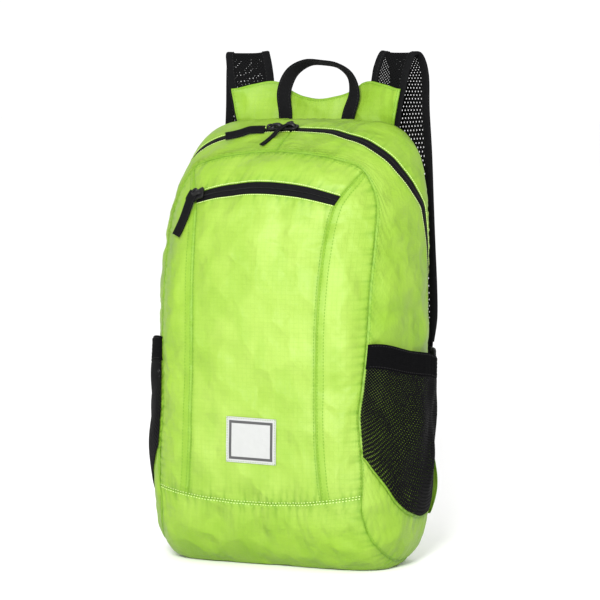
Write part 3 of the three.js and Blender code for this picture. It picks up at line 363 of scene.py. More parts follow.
FOLDS = table(
    "side across up long wide tilt high",
    (0, -98, 300, 90, 13, 88, 2.4), (0, 96, 250, 110, 12, 91, 2.6), (0, 88, 352, 34, 12, 62, 2.6),
    (0, 20, 408, 70, 9, 3, 2.2), (0, -40, 366, 36, 10, 70, -2.0), (0, 30, 345, 42, 12, 100, -1.6),
    (0, -60, 52, 26, 11, 84, 2.0), (0, -22, 50, 24, 10, 92, 2.2), (0, 18, 50, 24, 10, 86, 2.0),
    (0, 58, 54, 28, 11, 96, 2.4), (0, 104, 120, 46, 12, 118, 2.6), (0, -90, 130, 40, 13, 66, 2.0),
    (1, -18, 322, 70, 16, 78, 3.0), (1, 30, 268, 48, 14, 104, 3.2), (1, 4, 250, 36, 11, 82, -2.6),
    (1, -8, 150, 54, 15, 64, 2.6), (1, 34, 120, 44, 14, 100, 2.2),
)


def look_up(rows, by, key, at):
    """A smooth curve through two columns of a table."""
    x, y = rows[by], rows[key]
    at = np.clip(np.asarray(at, float), x[0], x[-1])
    i = np.searchsorted(x[1:-1], at, side="left")
    slope = np.diff(y) / np.diff(x)
    both = slope[:-1] * slope[1:]
    total = np.where(both > 0, slope[:-1] + slope[1:], 1)
    tangent = np.concatenate([[0], np.where(both > 0, 2 * both / total, 0), [0]])
    width = x[i + 1] - x[i]
    t = (at - x[i]) / width
    start = (2 * t**3 - 3 * t**2 + 1) * y[i] + (t**3 - 2 * t**2 + t) * width * tangent[i]
    return start + (3 * t**2 - 2 * t**3) * y[i + 1] + (t**3 - t**2) * width * tangent[i + 1]


def sin(degrees):
    return np.sin(np.radians(degrees))


def cos(degrees):
    return np.cos(np.radians(degrees))


def mix(a, b, t):
    return a + (b - a) * t


def folded(turn):
    return np.degrees(np.arccos(np.clip(cos(turn), -1, 1)))


def body(turn, key):
    return look_up(BODY, "turn", key, folded(turn))


def rim_reach(turn):
    up = -cos(turn)
    reach, power = np.where(up > 0, UP, DOWN), np.where(up > 0, CORNER_UP, CORNER_DOWN)
    return ((np.abs(sin(turn)) / (HALF * body(turn, "wide"))) ** power + (np.abs(up) / reach) ** power) ** (-1 / power)


def plain(turn, lean):
    """Point of the plain form."""
    turn, lean = np.broadcast_arrays(np.asarray(turn, float), np.asarray(lean, float))
    front = lean < 0
    rim = BACK * body(turn, "rim")
    reach = np.clip(cos(lean), 1e-9, 1) ** (2 / np.where(front, body(turn, "front"), body(turn, "back")))
    depth = np.abs(sin(lean)) ** np.where(front, 2 / body(turn, "dome"), 1)
    r = rim_reach(turn) * reach
    y = mix(rim, np.where(front, FRONT, BACK), depth)
    return np.stack([r * sin(turn), y, np.maximum(CORE - r * cos(turn), 0)], -1)


def unit(v):
    return v / np.maximum(np.linalg.norm(v, axis=-1, keepdims=True), 1e-9)


def fold_height(p, n):
    total = 0
    for k in range(len(FOLDS["up"])):
        f = {key: column[k] for key, column in FOLDS.items()}
        facing = np.clip(np.abs(n[..., 0]) if f["side"] else -n[..., 1], 0, 1)
        a = p[..., 1 if f["side"] else 0] - f["across"]
        b = p[..., 2] - f["up"]
        long = (a * cos(f["tilt"]) + b * sin(f["tilt"])) / f["long"]
        wide = (b * cos(f["tilt"]) - a * sin(f["tilt"])) / f["wide"]
        total = total + f["high"] * np.where(facing > 0.05, facing, 0) ** 2 * np.exp(-long * long - wide * wide)
    return total * np.clip(p[..., 2] / 12, 0, 1)


def settle(p, n, out):
    return p + n * (fold_height(p, n) + out)[..., None], n


def wrap(turn, lean, out=0.0):
    """A place on the folded surface and the way out from it."""
    a = plain(turn + 0.4, lean) - plain(turn - 0.4, lean)
    b = plain(turn, lean + 0.3) - plain(turn, lean - 0.3)
    return settle(plain(turn, lean), unit(np.cross(b, a)), out)


def turn_of(x, z):
    return np.degrees(np.arctan2(x, CORE - z))


def front_depth(x, z):
    turn = turn_of(x, z)
    share = np.hypot(x, z - CORE) / rim_reach(turn)
    depth = np.maximum(1 - share ** body(turn, "front"), 0) ** (1 / body(turn, "dome"))
    return mix(BACK * body(turn, "rim"), FRONT, depth)


def on_front(x, z, out=0.0):
    x, z = np.broadcast_arrays(np.asarray(x, float), np.asarray(z, float))
    slope_x = front_depth(x + 0.5, z) - front_depth(x - 0.5, z)
    slope_z = front_depth(x, z + 0.5) - front_depth(x, z - 0.5)
    n = unit(np.stack([slope_x, -np.ones_like(x), slope_z], -1))
    return settle(np.stack([x, front_depth(x, z), z], -1), n, out)


front_point, front_out = on_front(0, 250)
print("front centre at", front_point.round(1), "facing", front_out.round(2))

# %% [markdown]
# The seams are lines on that form. A fine sheet between its seams is a grid of places; here are
# the lines, and the helpers that spread a grid evenly and pack it closer near a seam.

# %% Seam lines
BASE_MID, BASE_RISE, BASE_HALF = 69, 11, 113
ZIP_UP, ZIP_WIDTH, ZIP_SAG, ZIP_HALF, TAPE = 394.5, 12, 14, 82, 11
LAST_BOOT, ZIP_FOOT, ZIP_END, CORNER = 54.6, 119, 121, 155


SIDE_FRONT, SIDE_BACK, LOW_BACK = -53, 61, 60


def front_lean(turn):
    return look_up(FRONT_SEAM, "turn", "lean", folded(turn))


def back_lean(turn):
    return body(turn, "seam")


def zip_lean(turn):
    return look_up(MAIN_ZIP, "turn", "lean", folded(turn))


def stitch_out(up):
    return look_up(STITCH_LINE, "up", "out", up)


def base_up(x):
    return BASE_MID + BASE_RISE * (x / BASE_HALF) ** 2


def lean_of(x, z):
    """Lean of a place on the front, known by its x and z."""
    turn = turn_of(x, z)
    share = np.hypot(x, z - CORE) / rim_reach(turn)
    return -np.degrees(np.arccos(share ** (body(turn, "front") / 2)))


FIRST, FIRST_LEAN = turn_of(BASE_HALF, base_up(BASE_HALF)), lean_of(BASE_HALF, base_up(BASE_HALF))
FRONT_SEAM["turn"][0], FRONT_SEAM["lean"][0] = FIRST, FIRST_LEAN
BOOT_LOW["turn"][0], BOOT_LOW["lean"][0] = FIRST, FIRST_LEAN


def zip_top(x):
    return ZIP_UP - ZIP_SAG * (x / ZIP_HALF) ** 2


def zip_low(x):
    return zip_top(x) - ZIP_WIDTH + 1.5 * (x / ZIP_HALF) ** 2


def side_turn(rows, u):
    """Turn of a line across a side, from the front seam to the back."""
    return look_up(rows, "lean", "turn", mix(SIDE_FRONT, SIDE_BACK, u))


def low_turn(u):
    """Turn of the seam between the base and a boot."""
    return look_up(BOOT_LOW, "lean", "turn", mix(FIRST_LEAN, LOW_BACK, u))


def slide(turn, u):
    """Turns moved so that the first one lies along the top of the boot."""
    edge = side_turn(BOOT_TOP, u)
    return edge + (turn - LAST_BOOT) * (180 - edge) / (180 - LAST_BOOT)


def lengths(points, axis):
    """Running length along one way of a grid of points."""
    gaps = np.linalg.norm(np.diff(points, axis=axis), axis=-1)
    start = np.zeros_like(np.take(gaps, [0], axis=axis))
    return np.concatenate([start, np.cumsum(gaps, axis=axis)], axis=axis)


def zip_edges():
    """Leans half a tape in front of the zip line and half a tape behind it, for a row of turns."""
    turns, leans = np.linspace(100, 180, 161), np.linspace(-80, 80, 641)
    edges = []
    for turn, run in zip(turns, lengths(plain(turns[:, None], leans), 1)):
        middle = np.interp(zip_lean(turn), leans, run)
        edges.append(np.interp([middle - TAPE / 2, middle + TAPE / 2], run, leans))
    return turns, *np.transpose(edges)


ZIP_TURNS, ZIP_BEFORE, ZIP_BEHIND = zip_edges()


def zip_front(turn):
    return np.interp(folded(turn), ZIP_TURNS, ZIP_BEFORE)


def zip_back(turn):
    return np.minimum(np.interp(folded(turn), ZIP_TURNS, ZIP_BEHIND), back_lean(turn) - 3)


def even_turns(low, high, lean):
    """Turns that cut a seam line into equal lengths."""
    ways = np.linspace(low, high, 500)
    run = lengths(plain(ways, lean(ways)), 0)
    return lambda share: np.interp(share, run / run[-1], ways)


def graded(length, step):
    """Shares from 0 to 1, closer near both seams."""
    edge = [0, 0.7, 1.5, 2.4, 3.6, 5.2, 7.2]
    inset = edge[-1]
    middle = np.linspace(inset, length - inset, max(int((length - 2 * inset) / step), 2))[1:-1]
    return np.concatenate([edge, middle, [length - e for e in reversed(edge)]]) / length


def grid_lengths(places):
    """Lengths of all lines of a grid, across and along it."""
    return lengths(places, 0)[-1], lengths(places, 1)[:, -1]


def cut_size(at, count=9):
    """Lengths across and along a cut, from a rough grid."""
    return grid_lengths(at(*np.meshgrid(np.linspace(0, 1, count), np.linspace(0, 1, count), indexing="ij"))[0])


print("first seam corner at turn", round(float(FIRST), 2), "and lean", round(float(FIRST_LEAN), 2))

# %% [markdown]
# The front pocket is a middle panel under a curved zip, with a cap above the zip and a strip down
# each side. A cut is a rule that gives each place of a panel between its four seams.


# %% Cuts of the front
def centre_at(u, v):
    s = u * 2 - 1
    x = 72 * s  # a first guess, made better by each round
    for _ in range(5):
        z = mix(base_up(x), zip_low(x), v)
        x = stitch_out(z) * s
    return on_front(x, z)


CAP_TURNS = [155, 160, 166, 173, 180, 187, 194, 200, 205]


def cap_at(u, v):
    turn = np.interp(u * 8, range(9), CAP_TURNS)
    top, corner = plain(turn, front_lean(turn)), plain(CORNER, front_lean(CORNER))
    x = ZIP_HALF * (1 - 2 * u)  # the zip's x at this share of the cap
    edge = stitch_out(mix(zip_top(ZIP_HALF), corner[2], v)) / mix(ZIP_HALF, corner[0], v)
    return on_front(mix(x, top[..., 0], v) * edge, mix(zip_top(x), top[..., 2], v))


def strip_at(side):
    turns = even_turns(FIRST, CORNER, front_lean)
    first, last = plain(FIRST, front_lean(FIRST))[2], plain(CORNER, front_lean(CORNER))[2]

    def at(u, v):
        turn = turns(v)
        outer = plain(turn, front_lean(turn))
        share = np.clip((turn - FIRST) / (CORNER - FIRST), 0, 1)
        low = base_up(stitch_out(BASE_MID))
        z_in = mix(low, last - 0.5, np.clip((outer[..., 2] - first) / (last - first), 0, 1))
        x_in = stitch_out(z_in)
        x = mix(x_in, outer[..., 0], u)
        even = mix(base_up(x_in), base_up(outer[..., 0]), u)
        z = mix(z_in, outer[..., 2], u) + (base_up(x) - even) * (1 - share) ** 4
        return on_front(x * side, z)

    return at


# %% [markdown]
# Each gusset is one long panel from the boot at the bottom to the seam at the top. It carries the
# zip along its rear edge, and the narrow rear gusset closes the shell behind the zip. The back
# panel lies flat; a square grid is pulled onto its outline, so that it has no pole. The base panel
# curls under the bag, and the boots close the two lower corners.


# %% Cuts of the sides, the back and the base
def mirrored(side, made):
    return tuple(part * (side, 1, 1) for part in made)


def gusset_at(side):
    turns = even_turns(LAST_BOOT, 180, front_lean)

    def at(u, v):
        nominal = turns(v)
        turn = slide(nominal, u)
        share = np.clip((nominal - ZIP_FOOT) / (ZIP_END - ZIP_FOOT), 0, 1)
        edge = mix(back_lean(turn), zip_front(turn), share)
        return mirrored(side, wrap(turn, mix(front_lean(turn), edge, u)))

    return at


def around(turn):
    return np.where(turn > 180, 360 - slide(360 - turn, 1), slide(turn, 1))


def rear_at(u, v):
    turn = around(even_turns(ZIP_END, 360 - ZIP_END, zip_back)(u))
    return wrap(turn, mix(zip_back(turn), back_lean(turn), v))


def back_at(u, v):
    a, b = 2 * u - 1, 2 * v - 1
    turn = np.degrees(np.arctan2(a * HALF, -b * np.where(b > 0, UP, DOWN)))
    r = np.maximum(np.abs(a), np.abs(b))
    edge = plain(turn, back_lean(turn) + 0.3)
    shrink = r * (1 - 0.36 / 130)
    x, z = edge[..., 0] * shrink, mix(CORE, edge[..., 2], shrink)
    share = np.hypot(x, z - CORE) / rim_reach(turn)
    depth = np.maximum(1 - share ** body(turn, "back"), 0) ** 0.5
    lean = np.degrees(np.arccos(np.clip(share ** (body(turn, "back") / 2), 0, 1)))
    n = wrap(turn, np.minimum(lean, 88))[1]
    n = np.where((r > 0.5)[..., None], n, np.array([0.0, 1.0, 0.0]))
    return np.stack([x, mix(BACK * body(turn, "rim"), BACK, depth), np.maximum(z, 0)], -1), n


def base_at(u, v):
    x = mix(-BASE_HALF, BASE_HALF, u)
    z = base_up(x)
    turn = turn_of(x, z)
    lean = mix(lean_of(x, z), back_lean(turn), v)
    return wrap(turn / FIRST * low_turn(v), lean)


def boot_at(side):
    def at(u, v):
        turn = mix(low_turn(u), side_turn(BOOT_TOP, u), v)
        return mirrored(side, wrap(turn, mix(front_lean(turn), back_lean(turn), u)))

    return at


CUTS = {"front_centre": centre_at, "front_cap": cap_at, "gusset_rear": rear_at, "back": back_at, "base": base_at}
SIDES = ((-1, "left"), (1, "right"))
for side, word in SIDES:
    for name, cut in (("front_strip", strip_at), ("gusset", gusset_at), ("boot", boot_at)):
        CUTS[f"{name}_{word}"] = cut(side)
print("cuts:", ", ".join(CUTS))

# %% [markdown]
# Real panels are cut a little larger than the gap they fill, and the spare cloth buckles between
# the seams. A short cloth simulation does the same: each panel is pinned along its seams, grows by
# a few per cent, is blown outwards a little, and settles. Only the small movement is kept, with a
# limit, and is added to the fine sheets later.

# %% Let the cloth settle
SPARE = {"front_centre": 0.03, "front_cap": 0.045, "gusset_rear": 0.035, "back": 0.025, "base": 0.045,
         "front_strip": 0.045, "gusset": 0.05, "boot": 0.06}
DRAPE, MOST, FRAMES, CELL = {}, 5.0, 30, 6.5
ENLARGED = 10  # how much larger the cloth is while it settles
BROAD, TAKEN_OUT = 12, 0.8  # how far the broad swelling reaches and how much of it is taken out


def quads_of(ids):
    """Faces between the points of a grid."""
    return np.stack([ids[:-1, :-1], ids[1:, :-1], ids[1:, 1:], ids[:-1, 1:]], -1).reshape(-1, 4)


def faces_out(places, outward):
    """Above 0 when the faces of a grid look outward, below 0 when they look inward."""
    step = np.cross(places[1:, :-1] - places[:-1, :-1], places[:-1, 1:] - places[:-1, :-1])
    return (step * outward[:-1, :-1]).sum()


def spread(grid, times):
    """The grid with its small forms smoothed away and its edges held."""
    for _ in range(times):
        soft = grid.copy()
        soft[1:-1, 1:-1] = (grid[:-2, 1:-1] + grid[2:, 1:-1] + grid[1:-1, :-2] + grid[1:-1, 2:]) / 4
        grid = soft
    return grid


def settle_cloth():
    scene, waiting = bpy.context.scene, []
    for number, (name, at) in enumerate(CUTS.items()):
        shape = [max(int(part.max() / CELL), 6) for part in cut_size(at)]
        u, v = np.meshgrid(*(np.linspace(0, 1, n) for n in shape), indexing="ij")
        place, facing = at(u, v)
        rng = np.random.default_rng(100 + number)
        start = place + facing * (rng.uniform(-0.25, 0.25, u.shape) * (u * (1 - u) * v * (1 - v) > 0))[..., None]
        ids = np.arange(u.size).reshape(u.shape)
        quads = quads_of(ids) if faces_out(place, facing) > 0 else quads_of(ids)[:, ::-1]
        mesh = bpy.data.meshes.new(name)
        mesh.from_pydata((start.reshape(-1, 3) * MM * ENLARGED).tolist(), [], quads.tolist())
        made = add(f"settling_{name}", mesh)
        pins = made.vertex_groups.new(name="pins")
        pins.add(np.concatenate([ids[0], ids[-1], ids[:, 0], ids[:, -1]]).tolist(), 1.0, "ADD")
        cloth = made.modifiers.new("cloth", "CLOTH").settings
        cloth.vertex_group_mass, cloth.quality, cloth.mass = "pins", 5, 0.15
        cloth.tension_stiffness = cloth.compression_stiffness = cloth.shear_stiffness = 12
        cloth.bending_stiffness, cloth.air_damping = 0.06, 2.0
        cloth.shrink_min = cloth.shrink_max = -SPARE[name if name in SPARE else name.rsplit("_", 1)[0]]
        cloth.use_pressure, cloth.uniform_pressure_force = True, 0.35
        cloth.effector_weights.gravity = 0.4
        waiting.append((name, made, place))
    for frame_number in range(1, FRAMES + 1):
        scene.frame_set(frame_number)
    graph = bpy.context.evaluated_depsgraph_get()
    for name, made, place in waiting:
        ready = made.evaluated_get(graph).to_mesh()
        moved = np.empty(len(ready.vertices) * 3)
        ready.vertices.foreach_get("co", moved)
        move = moved.reshape(place.shape) / MM / ENLARGED - place
        move = spread(move - TAKEN_OUT * spread(move, BROAD), 1)
        size = np.linalg.norm(move, axis=-1, keepdims=True)
        DRAPE[name] = move / (1 + size / MOST)
        print(name, "moved up to", round(float(size.max()), 1), "mm, mean", round(float(size.mean()), 2))
        mesh = made.data
        bpy.data.objects.remove(made)
        bpy.data.meshes.remove(mesh)
    scene.frame_set(1)


def drape(name, u, v):
    """How far the settled cloth has moved at any place of a panel, read smoothly."""
    if name not in DRAPE:
        return np.zeros(np.shape(u) + (3,))
    grid, total, spots = DRAPE[name], 0, []
    for at, count in zip((u, v), grid.shape):
        f = np.clip(at * (count - 1), 0, count - 1 - 1e-9)
        i, w = np.floor(f).astype(int), f - np.floor(f)
        weights = (-w + 2 * w**2 - w**3, 2 - 5 * w**2 + 3 * w**3, w + 4 * w**2 - 3 * w**3, w**3 - w**2)
        spots.append([(np.clip(i + k - 1, 0, count - 1), weight / 2) for k, weight in enumerate(weights)])
    for i, a in spots[0]:
        for j, b in spots[1]:
            total = total + grid[i, j] * (a * b)[..., None]
    return total


settle_cloth()

# %% [markdown]
# A seam gathers the cloth a little: beside it the panel rolls in, and short waves run off at
# right angles and die away within two fingers. The helper below gives those heights, with its
# random numbers fixed by a seed, and then makes a closed sheet with its cloth map and marks.

# %% Sewing helper
SEWN, GRIDS = [], {}
HIGHLIGHT_FACING = np.array([0.3, -0.94, 0.1])  # cloth that faces this way, towards the lamp, gets a painted highlight
FLOOR_GAP, ROLL = 0.2, 0.9


def ripple(run, pitch, seed):
    """Uneven waves along a seam, about one each pitch."""
    rng = np.random.default_rng(seed)
    total = np.zeros_like(run)
    for share, weight in ((1.0, 0.8), (0.61, 0.55), (1.7, 0.45), (2.6, 0.3)):
        swell = np.sin(run / (pitch * rng.uniform(3, 5)) + rng.uniform(0, 6.28)) * 0.4 + 0.7
        length = pitch * share * rng.uniform(0.9, 1.1)
        total += weight * swell * np.sin(2 * np.pi * run / length + rng.uniform(0, 6.28))
    return total


def seam_height(away, run, pucker, reach, pitch, seed):
    swell = 0.3 * np.exp(-(((away - 4.5) / 2.5) ** 2))
    return swell + pucker * ripple(run, pitch, seed) * np.exp(-away / reach) * (1 - np.exp(-away / 2))


def dress(mesh, look, corners, cloth_map, sharp=55):
    """Give a mesh its finish, its cloth map in millimetres, and its sharp edges."""
    if cloth_map is not None:
        mesh.uv_layers.new(name="cloth").data.foreach_set("uv", (cloth_map * MM)[corners].ravel())
    mesh.materials.append(look)
    mesh.shade_smooth()
    mesh.set_sharp_from_angle(angle=math.radians(sharp))


def solid(name, outer, inner, cloth_map, look, marks=()):
    """A closed mesh from an outer and an inner grid of points, in millimetres."""
    rows, columns = outer.shape[:2]
    count = rows * columns
    ids = np.arange(count).reshape(rows, columns)
    top = quads_of(ids)
    edge = np.concatenate([ids[:-1, 0], ids[-1, :-1], ids[:0:-1, -1], ids[0, :0:-1]])
    after = np.roll(edge, -1)
    walls = np.stack([after, edge, edge + count, after + count], -1)
    faces = np.concatenate([top, top[:, ::-1] + count, walls])
    if faces_out(outer, outer - inner) < 0:
        faces = faces[:, ::-1]
    mesh = bpy.data.meshes.new(name)
    mesh.from_pydata((np.concatenate([outer.reshape(-1, 3), inner.reshape(-1, 3)]) * MM).tolist(), [], faces.tolist())
    dress(mesh, look, faces.ravel(), np.concatenate([cloth_map.reshape(-1, 2)] * 2))
    for key, values in dict(marks).items():
        mark = mesh.attributes.new(key, "FLOAT", "POINT")
        mark.data.foreach_set("value", np.concatenate([values.ravel()] * 2))
    return add(name, mesh)


def carry(piece, slot, *nodes):
    """The piece rides on the bag and stands for these solids."""
    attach(piece, "root")
    if nodes:
        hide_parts(*nodes)
    return piece


def flat_size(places):
    """Largest run across and along a grid, in metres."""
    return tuple(part.max() * MM for part in grid_lengths(places))


def sew(name, at, seams, node, look=LIME, slot="lime_ripstop", thick=0.8, step=2.6,
        flat_map=None, double=None, out=None, seed=1, shares=None):
    """Cut a sheet between its seams; at(u, v) gives its places, seams its four edges."""
    us, vs = shares or (graded(part.max(), step) for part in cut_size(at))
    u, v = np.meshgrid(us, vs, indexing="ij")
    place, facing = at(u, v)
    run_u, run_v = lengths(place, 0), lengths(place, 1)
    ways = ((run_u, run_v), (run_u[-1:] - run_u, run_v), (run_v, run_u), (run_v[:, -1:] - run_v, run_u))
    (height, near, pucker_shade, rolled), calm = np.zeros((4,) + u.shape), np.ones_like(u)
    for k, ((away, run), seam) in enumerate(zip(ways, seams)):
        if seam:
            height += seam_height(away, run, *seam, seed * 10 + k)
            pucker, reach, pitch = seam
            # Painted shade: the troughs of the seam ripples and a narrow band beside each seam are marked, and the
            # finish darkens them.
            dark = np.clip(-2 * ripple(run, pitch, seed * 10 + k) - 0.4, 0, 1) * np.exp(-away / reach * 1.6)
            near, pucker_shade = np.maximum(near, np.exp(-away / 3)), np.maximum(pucker_shade, min(pucker * 1.8, 1) * dark)
            rolled = np.minimum(rolled, -ROLL * np.exp(-((away / 1.1) ** 2)))
        calm *= 1 - np.exp(-((away / 9) ** 2))
    if out is not None:
        height += out(u, v, place)
    outer = place + facing * (height + rolled)[..., None]
    if name in DRAPE:
        outer = outer + drape(name, u, v) * calm[..., None]
    outer[..., 2] = np.maximum(outer[..., 2], FLOOR_GAP)
    cloth_map = place[..., [0, 2]] if flat_map else np.stack([run_u, run_v], -1)
    # Painted highlight on cloth turned towards the lamp, fading out near the bottom and the top.
    painted_highlight = np.clip(facing @ HIGHLIGHT_FACING, 0, 1) ** 6 * np.clip(4.4 - np.abs(place[..., 2] / 50 - 4.8), 0, 1)
    marks = {"near": near, "double": double(place) if double else 0 * u, "pucker_shade": pucker_shade, "painted_highlight": painted_highlight}
    piece = carry(solid(name, outer, outer - facing * thick, cloth_map, look, marks), slot, node)
    du, dv = np.diff(outer, axis=0)[:, :-1], np.diff(outer, axis=1)[:-1]
    area = np.linalg.norm(np.cross(du, dv), axis=-1).sum() * MM * MM
    flat = flat_size(outer)
    min(area, flat[0] * flat[1])
    SEWN.append((name, flat, area))
    GRIDS[name] = (outer, facing, run_u, run_v)
    return piece


# %% [markdown]
# Now every panel is sewn. A seam is told how strongly it puckers, how far the waves run in and how
# long they are. The strips beside the middle have a doubled, darker band next to the stitch line.

# %% Sew the panels
SEAM, SOFT, PLAIN = (0.7, 12, 9), (0.55, 11, 8), (0.22, 6, 7)
GATHER = (0.9, 15, 8)


def doubled(place):
    beside = np.abs(place[..., 0]) - stitch_out(place[..., 2])
    return np.clip(beside / 1.2, 0, 1) * np.clip((9 - beside) / 1.5, 0, 1)


def gathers(u, v, place):
    """Short folds that hang below the base seam in front."""
    run = mix(-BASE_HALF, BASE_HALF, u)
    fall = np.exp(-((v - 0.06) / 0.12) ** 2)
    return fall * (0.5 * ripple(run, 21, 71) + 0.4 * ripple(run, 9, 72)) * np.clip(v / 0.01, 0, 1)


sew("front_centre", centre_at, (PLAIN, PLAIN, GATHER, SOFT), "front_centre_panel", flat_map=True, seed=3)
sew("front_cap", cap_at, (PLAIN, PLAIN, SOFT, SEAM), "front_cap_panel", flat_map=True, seed=4)
sew("gusset_rear", rear_at, (PLAIN, PLAIN, SOFT, SEAM), "rear_gusset", seed=12)
sew("back", back_at, (SEAM, SEAM, SEAM, SEAM), "back_panel", flat_map=True, step=4, seed=14)
sew("base", base_at, (SEAM, SEAM, GATHER, SOFT), "base_panel", out=gathers, seed=16)
for side, word in SIDES:
    sew(f"front_strip_{word}", CUTS[f"front_strip_{word}"], (PLAIN, SEAM, SEAM, SOFT), f"front_side_strip_{word}",
        flat_map=True, double=doubled, seed=6 + side)
    sew(f"gusset_{word}", CUTS[f"gusset_{word}"], (SEAM, PLAIN, GATHER, PLAIN), f"side_gusset_{word}", seed=9 + side)
    sew(f"boot_{word}", CUTS[f"boot_{word}"], (SEAM, SEAM, SEAM, SOFT), f"side_boot_{word}", step=2, seed=19 + side)
for name, flat, area in SEWN:
    print(name, "flat", round(flat[0], 3), "x", round(flat[1], 3), "m, area", round(area, 4))

# %% [markdown]
# Stitches, zip teeth and net repeat hundreds of times, so a tree of geometry nodes places them.
# A tree has named sizes; it is run on a plain line or sheet, and the result becomes a plain mesh.


# %% A way to write geometry trees
class Plan:
    """A tree of geometry nodes with named sizes and one finish."""

    def __init__(self, name, **sizes):
        self.tree = bpy.data.node_groups.new(name, "GeometryNodeTree")
        face = self.tree.interface
        face.new_socket("Geometry", in_out="OUTPUT", socket_type="NodeSocketGeometry")
        face.new_socket("Geometry", in_out="INPUT", socket_type="NodeSocketGeometry")
        kinds = {**{key: "NodeSocketFloat" for key in sizes}, "Finish": "NodeSocketMaterial"}
        self.ids = {k: face.new_socket(k, in_out="INPUT", socket_type=v).identifier for k, v in kinds.items()}
        self.sizes = sizes
        self.start = self.tree.nodes.new("NodeGroupInput").outputs

    def node(self, kind, settings=(), sockets=(), out=0):
        made = self.tree.nodes.new(kind)
        for key, value in dict(settings).items():
            setattr(made, key, value)
        for key, value in dict(sockets).items():
            for one in value if isinstance(value, list) else [value]:
                if isinstance(one, bpy.types.NodeSocket):
                    self.tree.links.new(one, made.inputs[key])
                else:
                    made.inputs[key].default_value = one
        return made.outputs[out] if isinstance(out, (int, str)) else [made.outputs[k] for k in out]

    def end(self, shape):
        real = self.node("GeometryNodeRealizeInstances", (), {0: shape})
        dressed = self.node("GeometryNodeSetMaterial", (), {0: real, "Material": self.start["Finish"]})
        self.tree.links.new(dressed, self.tree.nodes.new("NodeGroupOutput").inputs[0])
        return self

    def make(self, piece, look, **sizes):
        """Run the tree on a piece and keep the result as its plain mesh."""
        run = piece.modifiers.new("plan", "NODES")
        run.node_group = self.tree
        for key, value in {**self.sizes, **sizes, "Finish": look}.items():
            run[self.ids[key]] = value
        ready = piece.evaluated_get(bpy.context.evaluated_depsgraph_get())
        mesh = bpy.data.meshes.new_from_object(ready)
        piece.modifiers.remove(run)
        piece.data = mesh
        return piece


def stitch_plan():
    plan = Plan("stitch_rows", Pitch=0.003, Long=0.0023, Wide=0.0007, High=0.0005)
    line = plan.node("GeometryNodeMeshToCurve", (), {0: plan.start["Geometry"]})
    spots = plan.node("GeometryNodeResampleCurve", {"mode": "LENGTH"}, {0: line, "Length": plan.start["Pitch"]})
    bead = plan.node("GeometryNodeMeshUVSphere", (), {"Segments": 6, "Rings": 4, "Radius": 0.5})
    bead = plan.node("GeometryNodeSetShadeSmooth", (), {0: bead})
    ahead = plan.node("GeometryNodeInputTangent")
    up = plan.node("GeometryNodeInputNamedAttribute", {"data_type": "FLOAT_VECTOR"}, {"Name": "out"})
    turn = "FunctionNodeAlignRotationToVector"
    aim = plan.node(turn, {"axis": "X"}, {"Vector": ahead})
    aim = plan.node(turn, {"axis": "Z", "pivot_axis": "X"}, {"Rotation": aim, "Vector": up})
    size = plan.node("ShaderNodeCombineXYZ", (), {k: plan.start[n] for k, n in enumerate(("Long", "Wide", "High"))})
    sockets = {"Points": spots, "Instance": bead, "Rotation": aim, "Scale": size}
    return plan.end(plan.node("GeometryNodeInstanceOnPoints", (), sockets))


STITCHES = stitch_plan()


def stitch(name, lines, look, slot, **sizes):
    """Rows of stitches; each line has its places and the ways out of the cloth."""
    points, edges, outs = [], [], []
    for places, ways in lines:
        first = len(points)
        edges += [(first + k, first + k + 1) for k in range(len(places) - 1)]
        points += (places * MM).tolist()
        outs += ways.tolist()
    mesh = bpy.data.meshes.new(name)
    mesh.from_pydata(points, edges, [])
    mesh.attributes.new("out", "FLOAT_VECTOR", "POINT").data.foreach_set("vector", np.ravel(outs))
    return carry(STITCHES.make(add(name, mesh), look, **sizes), slot)


def beside(name, edge, away, skip=3):
    """The line on a sewn panel that runs at a distance from one of its edges."""
    outer, facing, run_u, run_v = GRIDS[name]
    if edge > 1:
        outer, facing, run_u = outer.swapaxes(0, 1), facing.swapaxes(0, 1), run_v.T
    run = run_u if edge % 2 == 0 else (run_u[-1:] - run_u)[::-1]
    if edge % 2:
        outer, facing = outer[::-1], facing[::-1]
    def pick(grid):
        columns = range(skip, outer.shape[1] - skip)
        return np.array([[np.interp(away, run[:, j], grid[:, j, k]) for k in range(3)] for j in columns])

    places, ways = pick(outer), unit(pick(facing))
    return places + ways * 0.15, ways


def stitch_beside(name, rows, look=THREAD, slot="lime_ripstop", **sizes):
    """Stitch rows along panels; each has its panel, its edge and how far in it runs."""
    stitch(name, [beside(*row) for row in rows], look, slot, **sizes)


rows = [("front_centre", 0, 1.8), ("front_centre", 1, 1.8), ("front_cap", 3, 2.2), ("front_cap", 3, 5)]
for side, word in SIDES:
    strip = f"front_strip_{word}"
    rows += [(strip, 0, 2.2), (strip, 0, 8.4), (strip, 1, 2.2), (f"gusset_{word}", 0, 2.4)]
stitch_beside("thread_front", rows, Pitch=0.0033, Wide=0.0009)
rows = [(name, 2, 1.3) for name in ("front_centre", "front_strip_left", "front_strip_right", "base")]
stitch_beside("thread_base", rows, PALE_THREAD, Pitch=0.0033, Long=0.002, Wide=0.0011, High=0.0008)
rows = [("front_centre", 3, 1.0), ("front_cap", 2, 1.0), ("gusset_rear", 2, 1.0)]
rows += [("gusset_left", 1, 1.0), ("gusset_right", 1, 1.0)]
stitch_beside("thread_zips", rows, PALE_THREAD, Pitch=0.0024, Wide=0.0011, High=0.0008)
rows = [("gusset_rear", 3, 2.2), ("back", 0, 3), ("back", 1, 3)]
for side, word in SIDES:
    rows += [(f"gusset_{word}", 2, 2.4), (f"boot_{word}", 0, 2.2), (f"boot_{word}", 2, 2.2)]
stitch_beside("thread_sides", rows)
print("stitch rows made")

